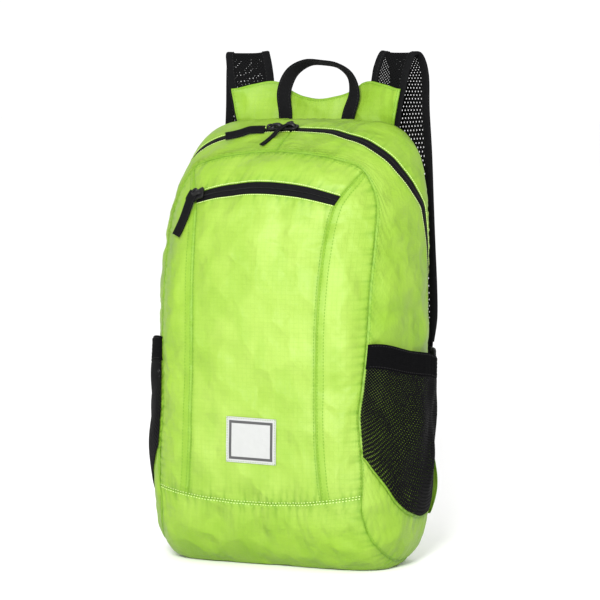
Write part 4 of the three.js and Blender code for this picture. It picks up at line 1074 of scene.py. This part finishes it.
# %% [markdown]
# Both zips are coils sewn to coated tape. Each tape is a thin strip with its edge rolled towards
# the coil, and the coil is a row of small ribs between the two strips.


# %% Zips
def make_zip(name, at, tape_steps, coil_steps, node):
    """Two strips of tape on either side of the coil."""
    for word, low, high in (("low", 0.0, 0.44), ("high", 0.56, 1.0)):
        u, v = np.meshgrid(np.linspace(0, 1, tape_steps), np.linspace(0, 1, 9), indexing="ij")
        place, facing = at(u, mix(low, high, v))
        inward = v if word == "low" else 1 - v
        dip, hem = np.clip(inward - 0.86, 0, 1) / 0.14, np.clip(0.12 - inward, 0, 1) / 0.12
        outer = place + facing * (0.55 * inward**2 - 0.9 * dip - 0.5 * hem)[..., None]
        cloth_map = np.stack([lengths(place, 1), lengths(place, 0)], -1)
        piece = solid(f"{name}_{word}", outer, outer - facing * 0.7, cloth_map, COATED)
        carry(piece, "zip_tape", *([node] if word == "low" else []))
        print(piece.name, "is", round(flat_size(outer)[0], 3), "m long")
    us = np.linspace(0, 1, coil_steps)
    place, facing = at(us, np.full_like(us, 0.5))
    stitch(f"{name}_coil", [(place - facing * 0.1, facing)], COIL, "zip_tape",
           Pitch=0.0013, Long=0.00105, Wide=0.0024, High=0.0013)


def front_zip_at(u, v):
    s = 2 * u - 1
    x = ZIP_HALF * s
    for _ in range(4):
        z = mix(zip_low(x) + 0.2, zip_top(x) - 0.2, v)
        x = (stitch_out(z) - 0.6) * s
    return on_front(x, z, -0.5)


def main_zip_at(u, v):
    turn = around(even_turns(ZIP_END, 360 - ZIP_END, zip_lean)(u))
    return wrap(turn, mix(zip_front(turn), zip_back(turn), v), -0.5)


make_zip("front_zip", front_zip_at, 70, 90, "front_zip_tape")
make_zip("main_zip", main_zip_at, 160, 260, "main_zip_tape")

# %% [markdown]
# The side pockets are knitted net: a flat cloth with a hexagonal hole every few millimetres. A
# lattice of triangles covers the pocket; its dual is the honeycomb, and each cell is cut open.


# %% Net
def net_plan():
    plan = Plan("net", Hole=0.62, Thick=0.0005)
    faces, by_face = {"mode": "FACES"}, {"domain": "FACE"}
    comb = plan.node("GeometryNodeDualMesh", (), {0: plan.start["Geometry"], 1: True})
    sockets = {0: comb, "Offset Scale": 0.0, "Individual": True}
    cells, top = plan.node("GeometryNodeExtrudeMesh", faces, sockets, out=(0, 1))
    sockets = {0: cells, "Selection": top, "Scale": plan.start["Hole"]}
    cells = plan.node("GeometryNodeScaleElements", by_face, sockets)
    bars = plan.node("GeometryNodeDeleteGeometry", by_face, {0: cells, "Selection": top})
    sockets = {0: bars, "Offset Scale": plan.start["Thick"], "Individual": False}
    front = plan.node("GeometryNodeExtrudeMesh", faces, sockets)
    behind = plan.node("GeometryNodeFlipFaces", (), {0: bars})
    both = plan.node("GeometryNodeJoinGeometry", (), {0: [behind, front]})
    closed = plan.node("GeometryNodeMergeByDistance", (), {0: both, "Distance": 0.00001})
    return plan.end(closed)


KNIT = net_plan()


def net(name, at, pitch, hole, node, thick=0.0005):
    """A net over a grid of places, its cells a pitch apart."""
    wide, long = (part.mean() for part in cut_size(at, 15))
    columns, count = max(int(wide / pitch), 4), max(int(long / (pitch * 0.866)), 4)
    i, j = np.meshgrid(np.arange(columns + 1), np.arange(count + 1), indexing="ij")
    u = np.clip((i + np.where(j % 2, 0.5, 0) - 0.25) / columns, 0, 1)
    place, facing = at(u, j / count)
    ids = i * (count + 1) + j
    a, b, c, d = ids[:-1, :-1], ids[1:, :-1], ids[1:, 1:], ids[:-1, 1:]
    odd = (j[:-1, :-1] % 2 == 1)[..., None]
    first = np.where(odd, np.stack([a, b, c], -1), np.stack([a, b, d], -1)).reshape(-1, 3)
    second = np.where(odd, np.stack([a, c, d], -1), np.stack([b, c, d], -1)).reshape(-1, 3)
    faces = np.concatenate([first, second])
    flat_places, flat_out = place.reshape(-1, 3), facing.reshape(-1, 3)
    p, q, r = (flat_places[faces[:, k]] for k in range(3))
    if (np.cross(q - p, r - p) * flat_out[faces[:, 0]]).sum() < 0:
        faces = faces[:, ::-1]
    mesh = bpy.data.meshes.new(name)
    mesh.from_pydata((flat_places * MM).tolist(), [], faces.tolist())
    piece = carry(KNIT.make(add(name, mesh), NET, Hole=hole, Thick=thick), "black_net", node)
    cloth = sum(face.area for face in piece.data.polygons) / 2
    flat = flat_size(place)
    whole = flat[0] * flat[1]
    print(name, "cells", columns * count, "cloth", round(cloth / whole, 2), "of its flat size")
    min(max(cloth, 0.31 * whole), whole)


def pocket_lift(u, v):
    return 0.5 + 12 * np.sin(np.pi * np.clip(u, 0, 1)) ** 0.8 * np.maximum(v, 0) ** 0.7


def on_pocket(side, turn, u, out):
    """A place in front of a side, between the front seam and the back."""
    return mirrored(side, wrap(turn, mix(front_lean(turn) + 0.6, back_lean(turn) - 1.5, u), out))


def pocket_at(side):
    def at(u, v):
        turn = mix(side_turn(BOOT_TOP, u) + 0.5, side_turn(BAND_LOW, u), v)
        slack = np.sin(np.pi * np.clip(u, 0, 1)) * np.sin(np.pi * np.clip(v, 0, 1)) ** 0.6
        sway = slack * (2 * np.sin(9 * u + 7 * v + side) + 1.3 * np.sin(17 * u - 9 * v) + 0.7 * np.sin(31 * u + 3 * v))
        return on_pocket(side, turn, u, 1.0 + pocket_lift(u, v) + sway)

    return at


def band_at(side):
    def at(u, v):
        lift = 1.6 + pocket_lift(u, np.ones_like(v)) - 0.8 * v * np.sin(np.pi * u)
        return on_pocket(side, mix(side_turn(BAND_LOW, u), side_turn(BAND_TOP, u), v), u, lift)

    return at


def gathered(u, v, place):
    ribs = ripple(u * 150, 5.5, 33) * 0.28
    roll = -0.7 * (np.exp(-((v / 0.05) ** 2)) + np.exp(-(((1 - v) / 0.05) ** 2)))
    return ribs * np.sin(np.pi * np.clip(u, 0.02, 0.98)) + roll + 0.12 * np.sin(v * 12 * np.pi)


NO_SEAMS = (None,) * 4
for side, word in SIDES:
    net(f"pocket_net_{word}", pocket_at(side), 2.8, 0.47, f"mesh_pocket_{word}")
    sew(f"pocket_band_{word}", band_at(side), NO_SEAMS, f"pocket_elastic_{word}", look=ELASTIC,
        slot="black_webbing", thick=1.5, out=gathered, shares=(np.linspace(0, 1, 140), np.linspace(0, 1, 25)))
    rows = [(f"pocket_band_{word}", k, 2.0) for k in (2, 3)]
    stitch_beside(f"thread_band_{word}", rows, DARK_THREAD, "black_webbing")

# %% [markdown]
# The yoke is doubled cloth behind the top seam. It dips in the middle for the neck and stands up
# in two tabs that hold the shoulder straps.

# %% Yoke
LOOP_FOOT, HALF_YOKE, YOKE_LOW = 34.5, 97, 444
YOKE_TOP = table("x z", (0, 477), (20, 480), (36, 486), (48, 494), (56, 495.5), (76, 492), (97, 487.5))


def yoke_at(u, v):
    x = mix(-HALF_YOKE, HALF_YOKE, u)
    far = np.abs(x)
    z = mix(YOKE_LOW, look_up(YOKE_TOP, "x", "z", far), v)
    tab = np.clip((far - 52) / (HALF_YOKE - 52), 0, 1)
    curl = 15 * tab * np.clip((z - 446) / 40, 0, 1)
    lean = 13.5 * np.clip((z - 452) / 38, 0, 1) ** 1.1
    over = 2.6 * np.exp(-(((far - LOOP_FOOT) / 13) ** 4))
    place = np.stack([x * (1 - 0.09 * (1 - v) * tab), BACK + 0.4 + over + lean - curl, z], -1)
    return place, np.broadcast_to(np.array([0.0, -1.0, 0.0]), place.shape)


def yoke_folds(u, v, place):
    x, z = place[..., 0], place[..., 2]
    tab = np.exp(-(((np.abs(x) - 74) / 16) ** 2)) * np.exp(-(((z - 470) / 13) ** 2))
    return 1.3 * tab + 0.35 * ripple(x, 17, 55) * (1 - v) ** 0.5 + 0.25 * ripple(z + x * 0.3, 15, 56)


EDGE = (0.2, 8, 9)
sew("yoke", yoke_at, (EDGE, EDGE, PLAIN, EDGE), "shoulder_yoke", thick=1.8, out=yoke_folds, flat_map=True, seed=23)
stitch_beside("thread_yoke", [("yoke", k, 2.4) for k in (0, 1, 3)])
print("yoke flat", [round(side, 3) for side in SEWN[-1][1]], "m")

# %% [markdown]
# Webbing, straps and ribbons are flat bands that follow a path. A band is lofted: a small rounded
# section is carried along the path, and its map counts the length so that the weave follows it.


# %% Bands along a path
def smooth(rows, count, keys):
    """A smooth run through the rows of a table."""
    last = len(rows[keys[0]]) - 1
    f = np.clip(np.linspace(0, 1, count) * last, 0, last - 1e-9)
    i = np.floor(f).astype(int)
    w = f - i
    made = {}
    for key in keys:
        p0, p1, p2, p3 = (rows[key][np.clip(i + k, 0, last)] for k in (-1, 0, 1, 2))
        bend = (2 * p0 - 5 * p1 + 4 * p2 - p3) * w * w + (3 * p1 - p0 - 3 * p2 + p3) * w**3
        made[key] = 0.5 * (2 * p1 + (p2 - p0) * w + bend)
    return made


def framed(at, wide):
    """Places with their direction across and through the band."""
    ahead = unit(np.gradient(at, axis=0))
    wide = unit(wide - ahead * (wide * ahead).sum(-1, keepdims=True))
    return at, wide, np.cross(wide, ahead)


def section(width, thick, steps=4):
    """A flat section with round edges."""
    r = thick / 2
    points = []
    for hand, start in ((1, 0), (-1, 90), (-1, 180), (1, 270)):
        for k in range(steps):
            a = start + 90 * k / (steps - 1)
            points.append((hand * (width / 2 - r) + r * cos(a), r * sin(a)))
    return np.array(points)


def rod_faces(rings, count):
    """Sides of a rod made of rings of points, and the faces that close its two ends."""
    ids = np.arange(rings * count).reshape(rings, count)
    after = np.roll(ids, -1, axis=1)
    sides = np.stack([ids[:-1], after[:-1], after[1:], ids[1:]], -1).reshape(-1, 4)
    return sides.tolist() + [ids[0][::-1].tolist(), ids[-1].tolist()]


def band(name, frames, widths, thick, look, slot, nodes=(), shift=0.0, mirror=1):
    """A flat band along a path; shift moves it sideways from the path."""
    at, wide, through = (part * (mirror, 1, 1) for part in frames)
    rings = np.array([section(w, thick) for w in np.broadcast_to(widths, len(at))])
    shift = np.broadcast_to(shift, len(at))[:, None]
    a, b = rings[..., 0] + shift, rings[..., 1]
    points = at[:, None] + wide[:, None] * a[..., None] + through[:, None] * b[..., None]
    faces = rod_faces(*a.shape)
    corner, middle = points[0, 0], at[0] + wide[0] * shift[0]
    if (np.cross(points[0, 1] - corner, points[1, 0] - corner) * (corner - middle)).sum() < 0:
        faces = [face[::-1] for face in faces]
    mesh = bpy.data.meshes.new(name)
    mesh.from_pydata((points.reshape(-1, 3) * MM).tolist(), [], faces)
    cloth_map = np.stack([rings[..., 0], np.broadcast_to(lengths(at, 0)[:, None], a.shape)], -1).reshape(-1, 2)
    dress(mesh, look, np.concatenate(faces), cloth_map)
    return carry(add(name, mesh), slot, *nodes)


# %% [markdown]
# The haul loop is one length of webbing. Its feet are sewn flat behind the top seam, and the
# middle is turned over on itself, so the hand holds a rounded edge.

# %% Haul loop
LOOP = table(
    "x y z turn", (-34.5, 0, 445, 0), (-35, 0, 462, 6), (-37.2, 1.2, 484, 18), (-29.5, 4, 504, 44), (-13, 7, 514.5, 64),
    (6, 8, 514.5, 70), (23, 7, 511, 64), (38, 4, 500, 42), (43.5, 1.2, 482, 18), (38, 0, 462, 6), (34.5, 0, 445, 0),
)
LOOP_WIDE, WEB_THICK = 15, 1.7
line = smooth(LOOP, 150, ("x", "y", "z", "turn"))
none = np.zeros(150)
at = np.stack([line["x"], line["y"] + BACK + 1.3, line["z"]], -1)
ahead = np.gradient(at, axis=0)
inward = unit(np.stack([ahead[:, 2], none, -ahead[:, 0]], -1)) * cos(line["turn"])[:, None]
loop_frames = framed(at, inward + np.stack([none, sin(line["turn"]), none], -1))
band("haul_webbing", loop_frames, LOOP_WIDE, WEB_THICK, WEBBING, "black_webbing", ("haul_loop",))
rows = []
for shift in (-5.6, 5.6):
    for face in (-1, 1):
        places = loop_frames[0] + loop_frames[1] * shift + loop_frames[2] * face * WEB_THICK / 2
        rows.append((places, loop_frames[2] * face))
stitch("thread_loop", rows, DARK_THREAD, "black_webbing", Pitch=0.0032)
print("haul loop:", round(lengths(at, 0)[-1]), "mm of webbing")

# %% [markdown]
# A shoulder strap is one layer of net between two bound edges. It leaves the yoke upwards, bends
# over and hangs behind the bag down to its buckle.

# %% Shoulder straps
STRAP = table(
    "x y z aim wide", (72, 79.6, 447, -1, 0.88), (75, 81.3, 470, -11, 0.92), (79, 84.6, 492, -18, 0.98),
    (82, 86, 509, -17, 0.98), (86.5, 91, 523, -13, 0.94), (90, 100.5, 521, -11, 0.94), (93, 106.5, 502, -12, 0.98),
    (93.5, 108, 465, -14, 1), (96, 109, 420, -14, 1), (98, 109, 372, -14, 1), (100, 109, 325, -12, 0.98),
    (103, 107, 280, -10, 0.96), (107, 104, 246, -8, 0.84), (111, 101, 222, -6, 0.56),
)
STRAP_WIDE, BOUND, STRAP_THICK, STRAP_ROWS = 50, 9, 4.2, 190
line = smooth(STRAP, STRAP_ROWS, ("x", "y", "z", "aim", "wide"))
strap_frames = framed(
    np.stack([line["x"], line["y"], line["z"]], -1),
    np.stack([cos(line["aim"]), sin(line["aim"]), np.zeros(STRAP_ROWS)], -1),
)
strap_wide = STRAP_WIDE * line["wide"]
strap_end = strap_frames[0][-1]


def strap_net_at(side):
    def at(u, v):
        row, all_rows = v * (STRAP_ROWS - 5), np.arange(STRAP_ROWS)
        place, across, through = (
            np.stack([np.interp(row, all_rows, part[:, k]) for k in range(3)], -1) for part in strap_frames
        )
        reach = np.interp(row, all_rows, strap_wide) / 2 - BOUND + 1.5
        return mirrored(side, (place + across * ((u * 2 - 1) * reach)[..., None], through))

    return at


for side, word in SIDES:
    net(f"strap_net_{word}", strap_net_at(side), 3.4, 0.4, f"shoulder_strap_{word}", thick=0.0009)
    rows = []
    for hand, label in ((-1, "inner"), (1, "outer")):
        off = hand * (strap_wide - BOUND) / 2
        band(f"strap_binding_{label}_{word}", strap_frames, BOUND, STRAP_THICK, BINDING, "black_webbing",
             shift=off, mirror=side)
        off = (off - hand * (BOUND / 2 - 1.4))[:, None]
        for face in (-1, 1):
            places = strap_frames[0] + strap_frames[1] * off + strap_frames[2] * face * STRAP_THICK / 2
            rows.append(mirrored(side, (places[2:-2], strap_frames[2][2:-2] * face)))
    stitch(f"thread_strap_{word}", rows, DARK_THREAD, "black_webbing", Pitch=0.0034)

# %% [markdown]
# Moulded pieces are flat plates with rounded edges. A filled flat curve with a bevel gives such a
# plate, with its slots; it is made a mesh and then set in its place on the bag.


# %% Moulded plates
def rounded(width, tall, corner, cx=0.0, cy=0.0, steps=5):
    """Outline of a rectangle with round corners."""
    points = []
    for sx, sy, start in ((1, 1, 0), (-1, 1, 90), (-1, -1, 180), (1, -1, 270)):
        for k in range(steps):
            a = math.radians(start + 90 * k / (steps - 1))
            points.append((cx + sx * (width / 2 - corner) + corner * math.cos(a),
                           cy + sy * (tall / 2 - corner) + corner * math.sin(a)))
    return points


def plate(outlines, thick, bevel, level=0.0):
    """Points and faces of a bevelled plate with holes; the first outline is the outer one."""
    curve = bpy.data.curves.new("plate", "CURVE")
    curve.dimensions, curve.fill_mode = "2D", "BOTH"
    curve.extrude, curve.bevel_depth, curve.bevel_resolution = thick / 2 - bevel, bevel, 2
    curve.offset = -bevel
    for outline in outlines:
        spline = curve.splines.new("POLY")
        spline.points.add(len(outline) - 1)
        spline.points.foreach_set("co", np.array([(x, y, 0, 1) for x, y in outline], np.float32).ravel())
        spline.use_cyclic_u = True
    holder = add("plate", curve)
    mesh = bpy.data.meshes.new_from_object(holder.evaluated_get(bpy.context.evaluated_depsgraph_get()))
    points = np.empty(len(mesh.vertices) * 3)
    mesh.vertices.foreach_get("co", points)
    faces = [list(face.vertices) for face in mesh.polygons]
    bpy.data.objects.remove(holder)
    bpy.data.curves.remove(curve)
    bpy.data.meshes.remove(mesh)
    return points.reshape(-1, 3) + (0, 0, level), faces


def moved(part, by):
    return part[0] + by, part[1]


def moulded(name, parts, nodes=()):
    """Join parts, each its points and faces in millimetres, with doubles merged and faces outward."""
    points, faces = [], []
    for places, loops in parts:
        faces += [[k + len(points) for k in loop] for loop in loops]
        points += (np.asarray(places) * MM).tolist()
    mesh = bpy.data.meshes.new(name)
    mesh.from_pydata(points, [], faces)
    work = bmesh.new()
    work.from_mesh(mesh)
    bmesh.ops.remove_doubles(work, verts=work.verts, dist=0.00001)
    bmesh.ops.recalc_face_normals(work, faces=work.faces)
    work.to_mesh(mesh)
    work.free()
    dress(mesh, PLASTIC, None, None, 40)
    return carry(add(name, mesh), "black_plastic", *nodes)


def placed(part, at, across, up, out, mirror=1):
    """A part set down with its own x, y and z turned to three directions."""
    points, faces = part
    return (at + points @ np.array([across, up, out])) * (mirror, 1, 1), faces


def tube(path, radius, out, flat=1.0, steps=8):
    """Points and faces of a closed rod along a path."""
    path = np.asarray(path, float)
    at, wide, through = framed(path, np.broadcast_to(np.asarray(out, float), path.shape))
    a = np.linspace(0, 360, steps, endpoint=False)
    points = at[:, None] + radius * (wide[:, None] * cos(a)[:, None] * flat + through[:, None] * sin(a)[:, None])
    return points.reshape(-1, 3), rod_faces(len(path), steps)


# %% [markdown]
# A ladder buckle holds the strap to its webbing: two slots with a bar between them and a lip to
# pull on. The webbing rises from the corner tab, turns over the bar and hangs free behind.

# %% Buckles, webbing and corner tabs
BUCKLE_WIDE, BUCKLE_TALL, BUCKLE_THICK, BAR, SLOT_WIDE, SLOT_TALL = 30, 30, 4, 4, 22.5, 6.4
buckle_at = strap_end + (1.2, -1, -BUCKLE_TALL / 2 - 3.4)
buckle_across, buckle_out = np.array([cos(-6), sin(-6), 0]), np.array([-sin(-6), cos(-6), 0])
frame_plate = plate(
    [rounded(BUCKLE_WIDE, BUCKLE_TALL, 4)]
    + [rounded(SLOT_WIDE, SLOT_TALL, 1.2, 0, hand * (SLOT_TALL + BAR) / 2) for hand in (-1, 1)], BUCKLE_THICK, 0.8
)
lip = moved(plate([rounded(24, 4.4, 2)], 3.4, 0.9, 1.6), (0, BUCKLE_TALL / 2 - 1.6, 0))
ribs = [moved(plate([rounded(19, 1.0, 0.45)], 0.9, 0.3), (0, y, 2.1)) for y in (-12.6, 10.4)]
ANCHOR = table(
    "back up", (4.9, 30), (4.4, 20), (3.2, 13), (3.1, 8.2), (0, 5.4), (-3.1, 8.2), (-4.7, 13.5), (-2.8, 20), (-1.2, 30)
)
line = smooth(ANCHOR, 60, ("back", "up"))
anchor_frames = framed(
    buckle_at + buckle_out * line["back"][:, None] + np.array([0, 0, 1]) * line["up"][:, None] + (-0.4, 0, 0),
    np.broadcast_to(buckle_across, (60, 3))
)
STRAP_WEB = 20
WEB_RISE = table("x y z", (120.5, 81.4, 97), (119.5, 84, 114), (117, 89, 140), (114, 94, 166))
WEB_TURN = table(
    "back up", (-3.6, -16), (-3.6, -5), (-3.5, 0.4), (-2.7, 3.2), (0, 4.6), (2.7, 3.2), (3.5, 0.4), (3.7, -6),
    (4.4, -20), (6, -42), (6.6, -72),
)
path = {
    "x": np.append(WEB_RISE["x"], np.full(11, buckle_at[0])),
    "y": np.append(WEB_RISE["y"], buckle_at[1] + WEB_TURN["back"]),
    "z": np.append(WEB_RISE["z"], buckle_at[2] + WEB_TURN["up"]),
}
line = smooth(path, 170, ("x", "y", "z"))
aim = mix(9, -6, np.clip(4 * np.linspace(0, 1, 170), 0, 1))
web_frames = framed(np.stack([line["x"], line["y"], line["z"]], -1), np.stack([cos(aim), sin(aim), np.zeros(170)], -1))


def tab_at(side):
    def at(u, v):
        s = 2 * u - 1
        across = mix(130.5, 121, v) + s * mix(2, 13, v**0.8) + 5 * np.sin(np.pi * v) * np.clip(s, 0, 1)
        y = mix(71.4, 78.2, v) + 1.6 + 0.8 * v * s
        place = np.stack([across * side, y, mix(48, 106, v)], -1)
        return place, np.broadcast_to(np.array([0.0, 1.0, 0.0]), place.shape)

    return at


for side, word in SIDES:
    parts = [placed(part, buckle_at, buckle_across, (0, 0, 1), -buckle_out, side) for part in (frame_plate, lip, *ribs)]
    moulded(f"ladder_buckle_{word}", parts, (f"strap_buckle_{word}",))
    band(f"webbing_{word}", web_frames, STRAP_WEB, WEB_THICK, WEBBING, "black_webbing", (f"strap_webbing_{word}",),
         mirror=side)
    band(f"strap_anchor_{word}", anchor_frames, STRAP_WEB, 1.5, WEBBING, "black_webbing", mirror=side)
    sew(f"tab_{word}", tab_at(side), (EDGE, EDGE, PLAIN, EDGE), f"corner_tab_{word}", thick=1.5, step=2,
        flat_map=True, seed=31)
    stitch_beside(f"thread_tab_{word}", [(f"tab_{word}", k, 2.2) for k in (0, 1, 3)])
print("webbing on each side:", round(lengths(web_frames[0], 0)[-1]), "mm")

# %% [markdown]
# A zip slider is a waisted body with a bridge over it. A small loop hangs in the bridge and holds
# a folded ribbon to pull on. The ribbons here are plain.


# %% Sliders and pulls
def waisted(long, wide):
    shape = [(1, 0.34), (0.84, 0.5), (0.3, 0.46), (0, 0.4), (-0.35, 0.5), (-0.8, 0.42), (-1, 0.24)]
    upper = [(x * long / 2, y * wide) for x, y in shape]
    return upper + [(x, -y) for x, y in reversed(upper)]


BRIDGE = [(-4.4, 0, 2.0), (-4.1, 0, 3.6), (-2.4, 0, 4.6), (0, 0, 4.8), (2.8, 0, 4.4), (4.2, 0, 3.3), (4.5, 0, 2.0)]
SLIDER_SIZE = 1.15


def slider(name, at, along, out, node):
    out = unit(np.asarray(out, float))
    along = unit(along - out * (along * out).sum())
    across = np.cross(out, along)
    parts = [plate([waisted(15, 11)], 2.0, 0.6, 1.6), tube(BRIDGE, 1.3, (0, 1, 0), 1.7)]
    for hand in (-1, 1):
        parts.append(plate([rounded(6, 1.2, 0.5, 1, hand * 3.3)], 1.6, 0.3, 1.0))
    moulded(name, [placed((points * SLIDER_SIZE, faces), at, along, across, out) for points, faces in parts], (node,))


def ribbon(name, places, outs, width, thick, node):
    """A ribbon pull, made smooth through its few places."""
    rows = {key: np.asarray(places)[:, k] for k, key in enumerate("xyz")}
    rows.update({key: np.asarray(outs)[:, k] for k, key in enumerate("abc")})
    line = smooth(rows, 60, tuple("xyzabc"))
    at, out = np.stack([line[k] for k in "xyz"], -1), np.stack([line[k] for k in "abc"], -1)
    frames = framed(at, np.cross(out, np.gradient(at, axis=0)))
    band(name, frames, width, thick, BINDING, "black_webbing", (node,))
    rows = []
    for hand in (-1, 1):
        rows.append((frames[0] + frames[1] * hand * (np.min(width) / 2 - 1.2) + unit(out) * thick * 0.5, unit(out)))
    stitch(f"thread_{name}", rows, DARK_THREAD, "black_webbing", Pitch=0.0024, Long=0.0017, Wide=0.0005, High=0.0004)


def loop_at(name, at, along, out):
    """The small loop between a bridge and its ribbon."""
    a = np.linspace(0, 360, 25)
    out, along = unit(np.asarray(out, float)), unit(np.asarray(along, float))
    path = at + along * (cos(a) * 3.4)[:, None] + np.cross(out, along) * (sin(a) * 2.2)[:, None]
    moulded(name, [tube(path, 1.3, out)])


for turn, word in ((184.2, "left"), (180.6, "right")):
    p, n = wrap(turn, zip_lean(turn), 0.3)
    slider(f"zip_slider_{word}", p, plain(turn + 1, zip_lean(turn + 1)) - plain(turn - 1, zip_lean(turn - 1)), n,
           f"main_zip_slider_{word}")
turns = np.array([186.6, 188.5, 190.5, 192.5, 194.5, 196.2])
p, n = wrap(turns, zip_lean(turns) - 3.4, 4.4 + 0.5 * np.sin(turns))
n = unit(n * 0.7 + (0.15, -1, 0.1))
ribbon("pull_left", p, n, 9, 1.3, "main_zip_pull_left")
loop_at("pull_loop_left", wrap(185.6, zip_lean(185.6) - 0.8, 4.0)[0], p[0] - p[1], n[0])
steps = np.arange(6)
p, n = wrap(180.9 + 0.8 * steps, zip_lean(180) + np.array([1, -2, -5, -8.5, -12, -15]),
            5.4 * np.array([1, 1, 0.84, 0.42, 0.3, 0.42]))
ribbon("pull_right", p, n, 6, 1.3, "main_zip_pull_right")
loop_at("pull_loop_right", p[0] + n[0] * 0.2, p[0] - p[1], n[0])
mark_x, mark_z = 8 - ZIP_HALF, zip_low(ZIP_HALF - 8) + ZIP_WIDTH / 2
p, n = on_front(mark_x, mark_z, 1.5)
slider("front_slider", p, np.array([1, 0.1, 0.2]), n, "front_zip_slider")
out, up = np.array([-1, -4.5, -7, -10, -14, -18]), np.array([1, -5, -13, -23, -33, -42])
p, n = on_front(mark_x + out, mark_z + up, 7.2 * np.array([1, 0.94, 0.86, 0.8, 0.76, 0.74]))
n = unit(n * (0.3, 0.3, 0.3) + (0.22, -1, 0.05))
ribbon("pull_front", p, n, [10.6] * 16 + [9.2] * 44, 1.5, "front_zip_pull")
loop_at("pull_loop_front", p[0] - n[0] * 0.4, p[0] - p[1], n[0])
print("sliders and pulls made")

# %% [markdown]
# The patch low on the front is a small woven square with a thin frame line, and is left bare.


# %% Patch
PATCH_WIDE, PATCH_TALL, PATCH_LEAN = 55, 46, -1.2
LINE_IN, LINE_OUT, LINE_BLUR = 0.003, 0.0058, 0.0003


def patch_at(u, v):
    a, b = (u - 0.5) * PATCH_WIDE, (v - 0.5) * PATCH_TALL
    x = 0.5 + a * cos(PATCH_LEAN) - b * sin(PATCH_LEAN)
    z = 134 + a * sin(PATCH_LEAN) + b * cos(PATCH_LEAN)
    p, n = on_front(x, z, 1.2)
    return p + drape("front_centre", (x / stitch_out(z) + 1) / 2, (z - base_up(x)) / (zip_low(x) - base_up(x))), n


def bare_patch():
    cloth = Finish("pale_patch")
    across, along, both = cloth.place()
    half_wide, half_tall = PATCH_WIDE / 2 * MM, PATCH_TALL / 2 * MM
    from_side = half_wide - across.maths("ABSOLUTE", across - half_wide)
    from_foot = half_tall - along.maths("ABSOLUTE", along - half_tall)
    edge = across.maths("MINIMUM", from_side, from_foot)
    frame_line = edge.rise(LINE_IN, LINE_IN + LINE_BLUR) - edge.rise(LINE_OUT, LINE_OUT + LINE_BLUR)
    weave = across.wave(0.0008) * along.wave(0.0006)
    lint = cloth.noise(both, 0.006, 4.0)
    pale = cloth.blend(lint * 0.7 + weave * 0.3, tint(0.37, 0.375, 0.37), tint(0.43, 0.435, 0.43))
    pale = cloth.blend(frame_line * 0.92, pale, tint(0.02, 0.02, 0.022))
    return cloth.surface(Base_Color=pale, Roughness=0.55 + lint * 0.2, Normal=cloth.bump(weave, 0.0002),
                         Sheen_Weight=0.1)


sew("patch", patch_at, NO_SEAMS, "label_patch", look=bare_patch(), slot="pale_patch", thick=0.7, step=3, seed=41)
stitch_beside("thread_patch", [("patch", k, 1.2, 1) for k in range(4)], slot="pale_patch",
              Pitch=0.0026, Long=0.0018, Wide=0.0005, High=0.0004)
print("patch flat", [round(side, 3) for side in SEWN[-1][1]], "m")
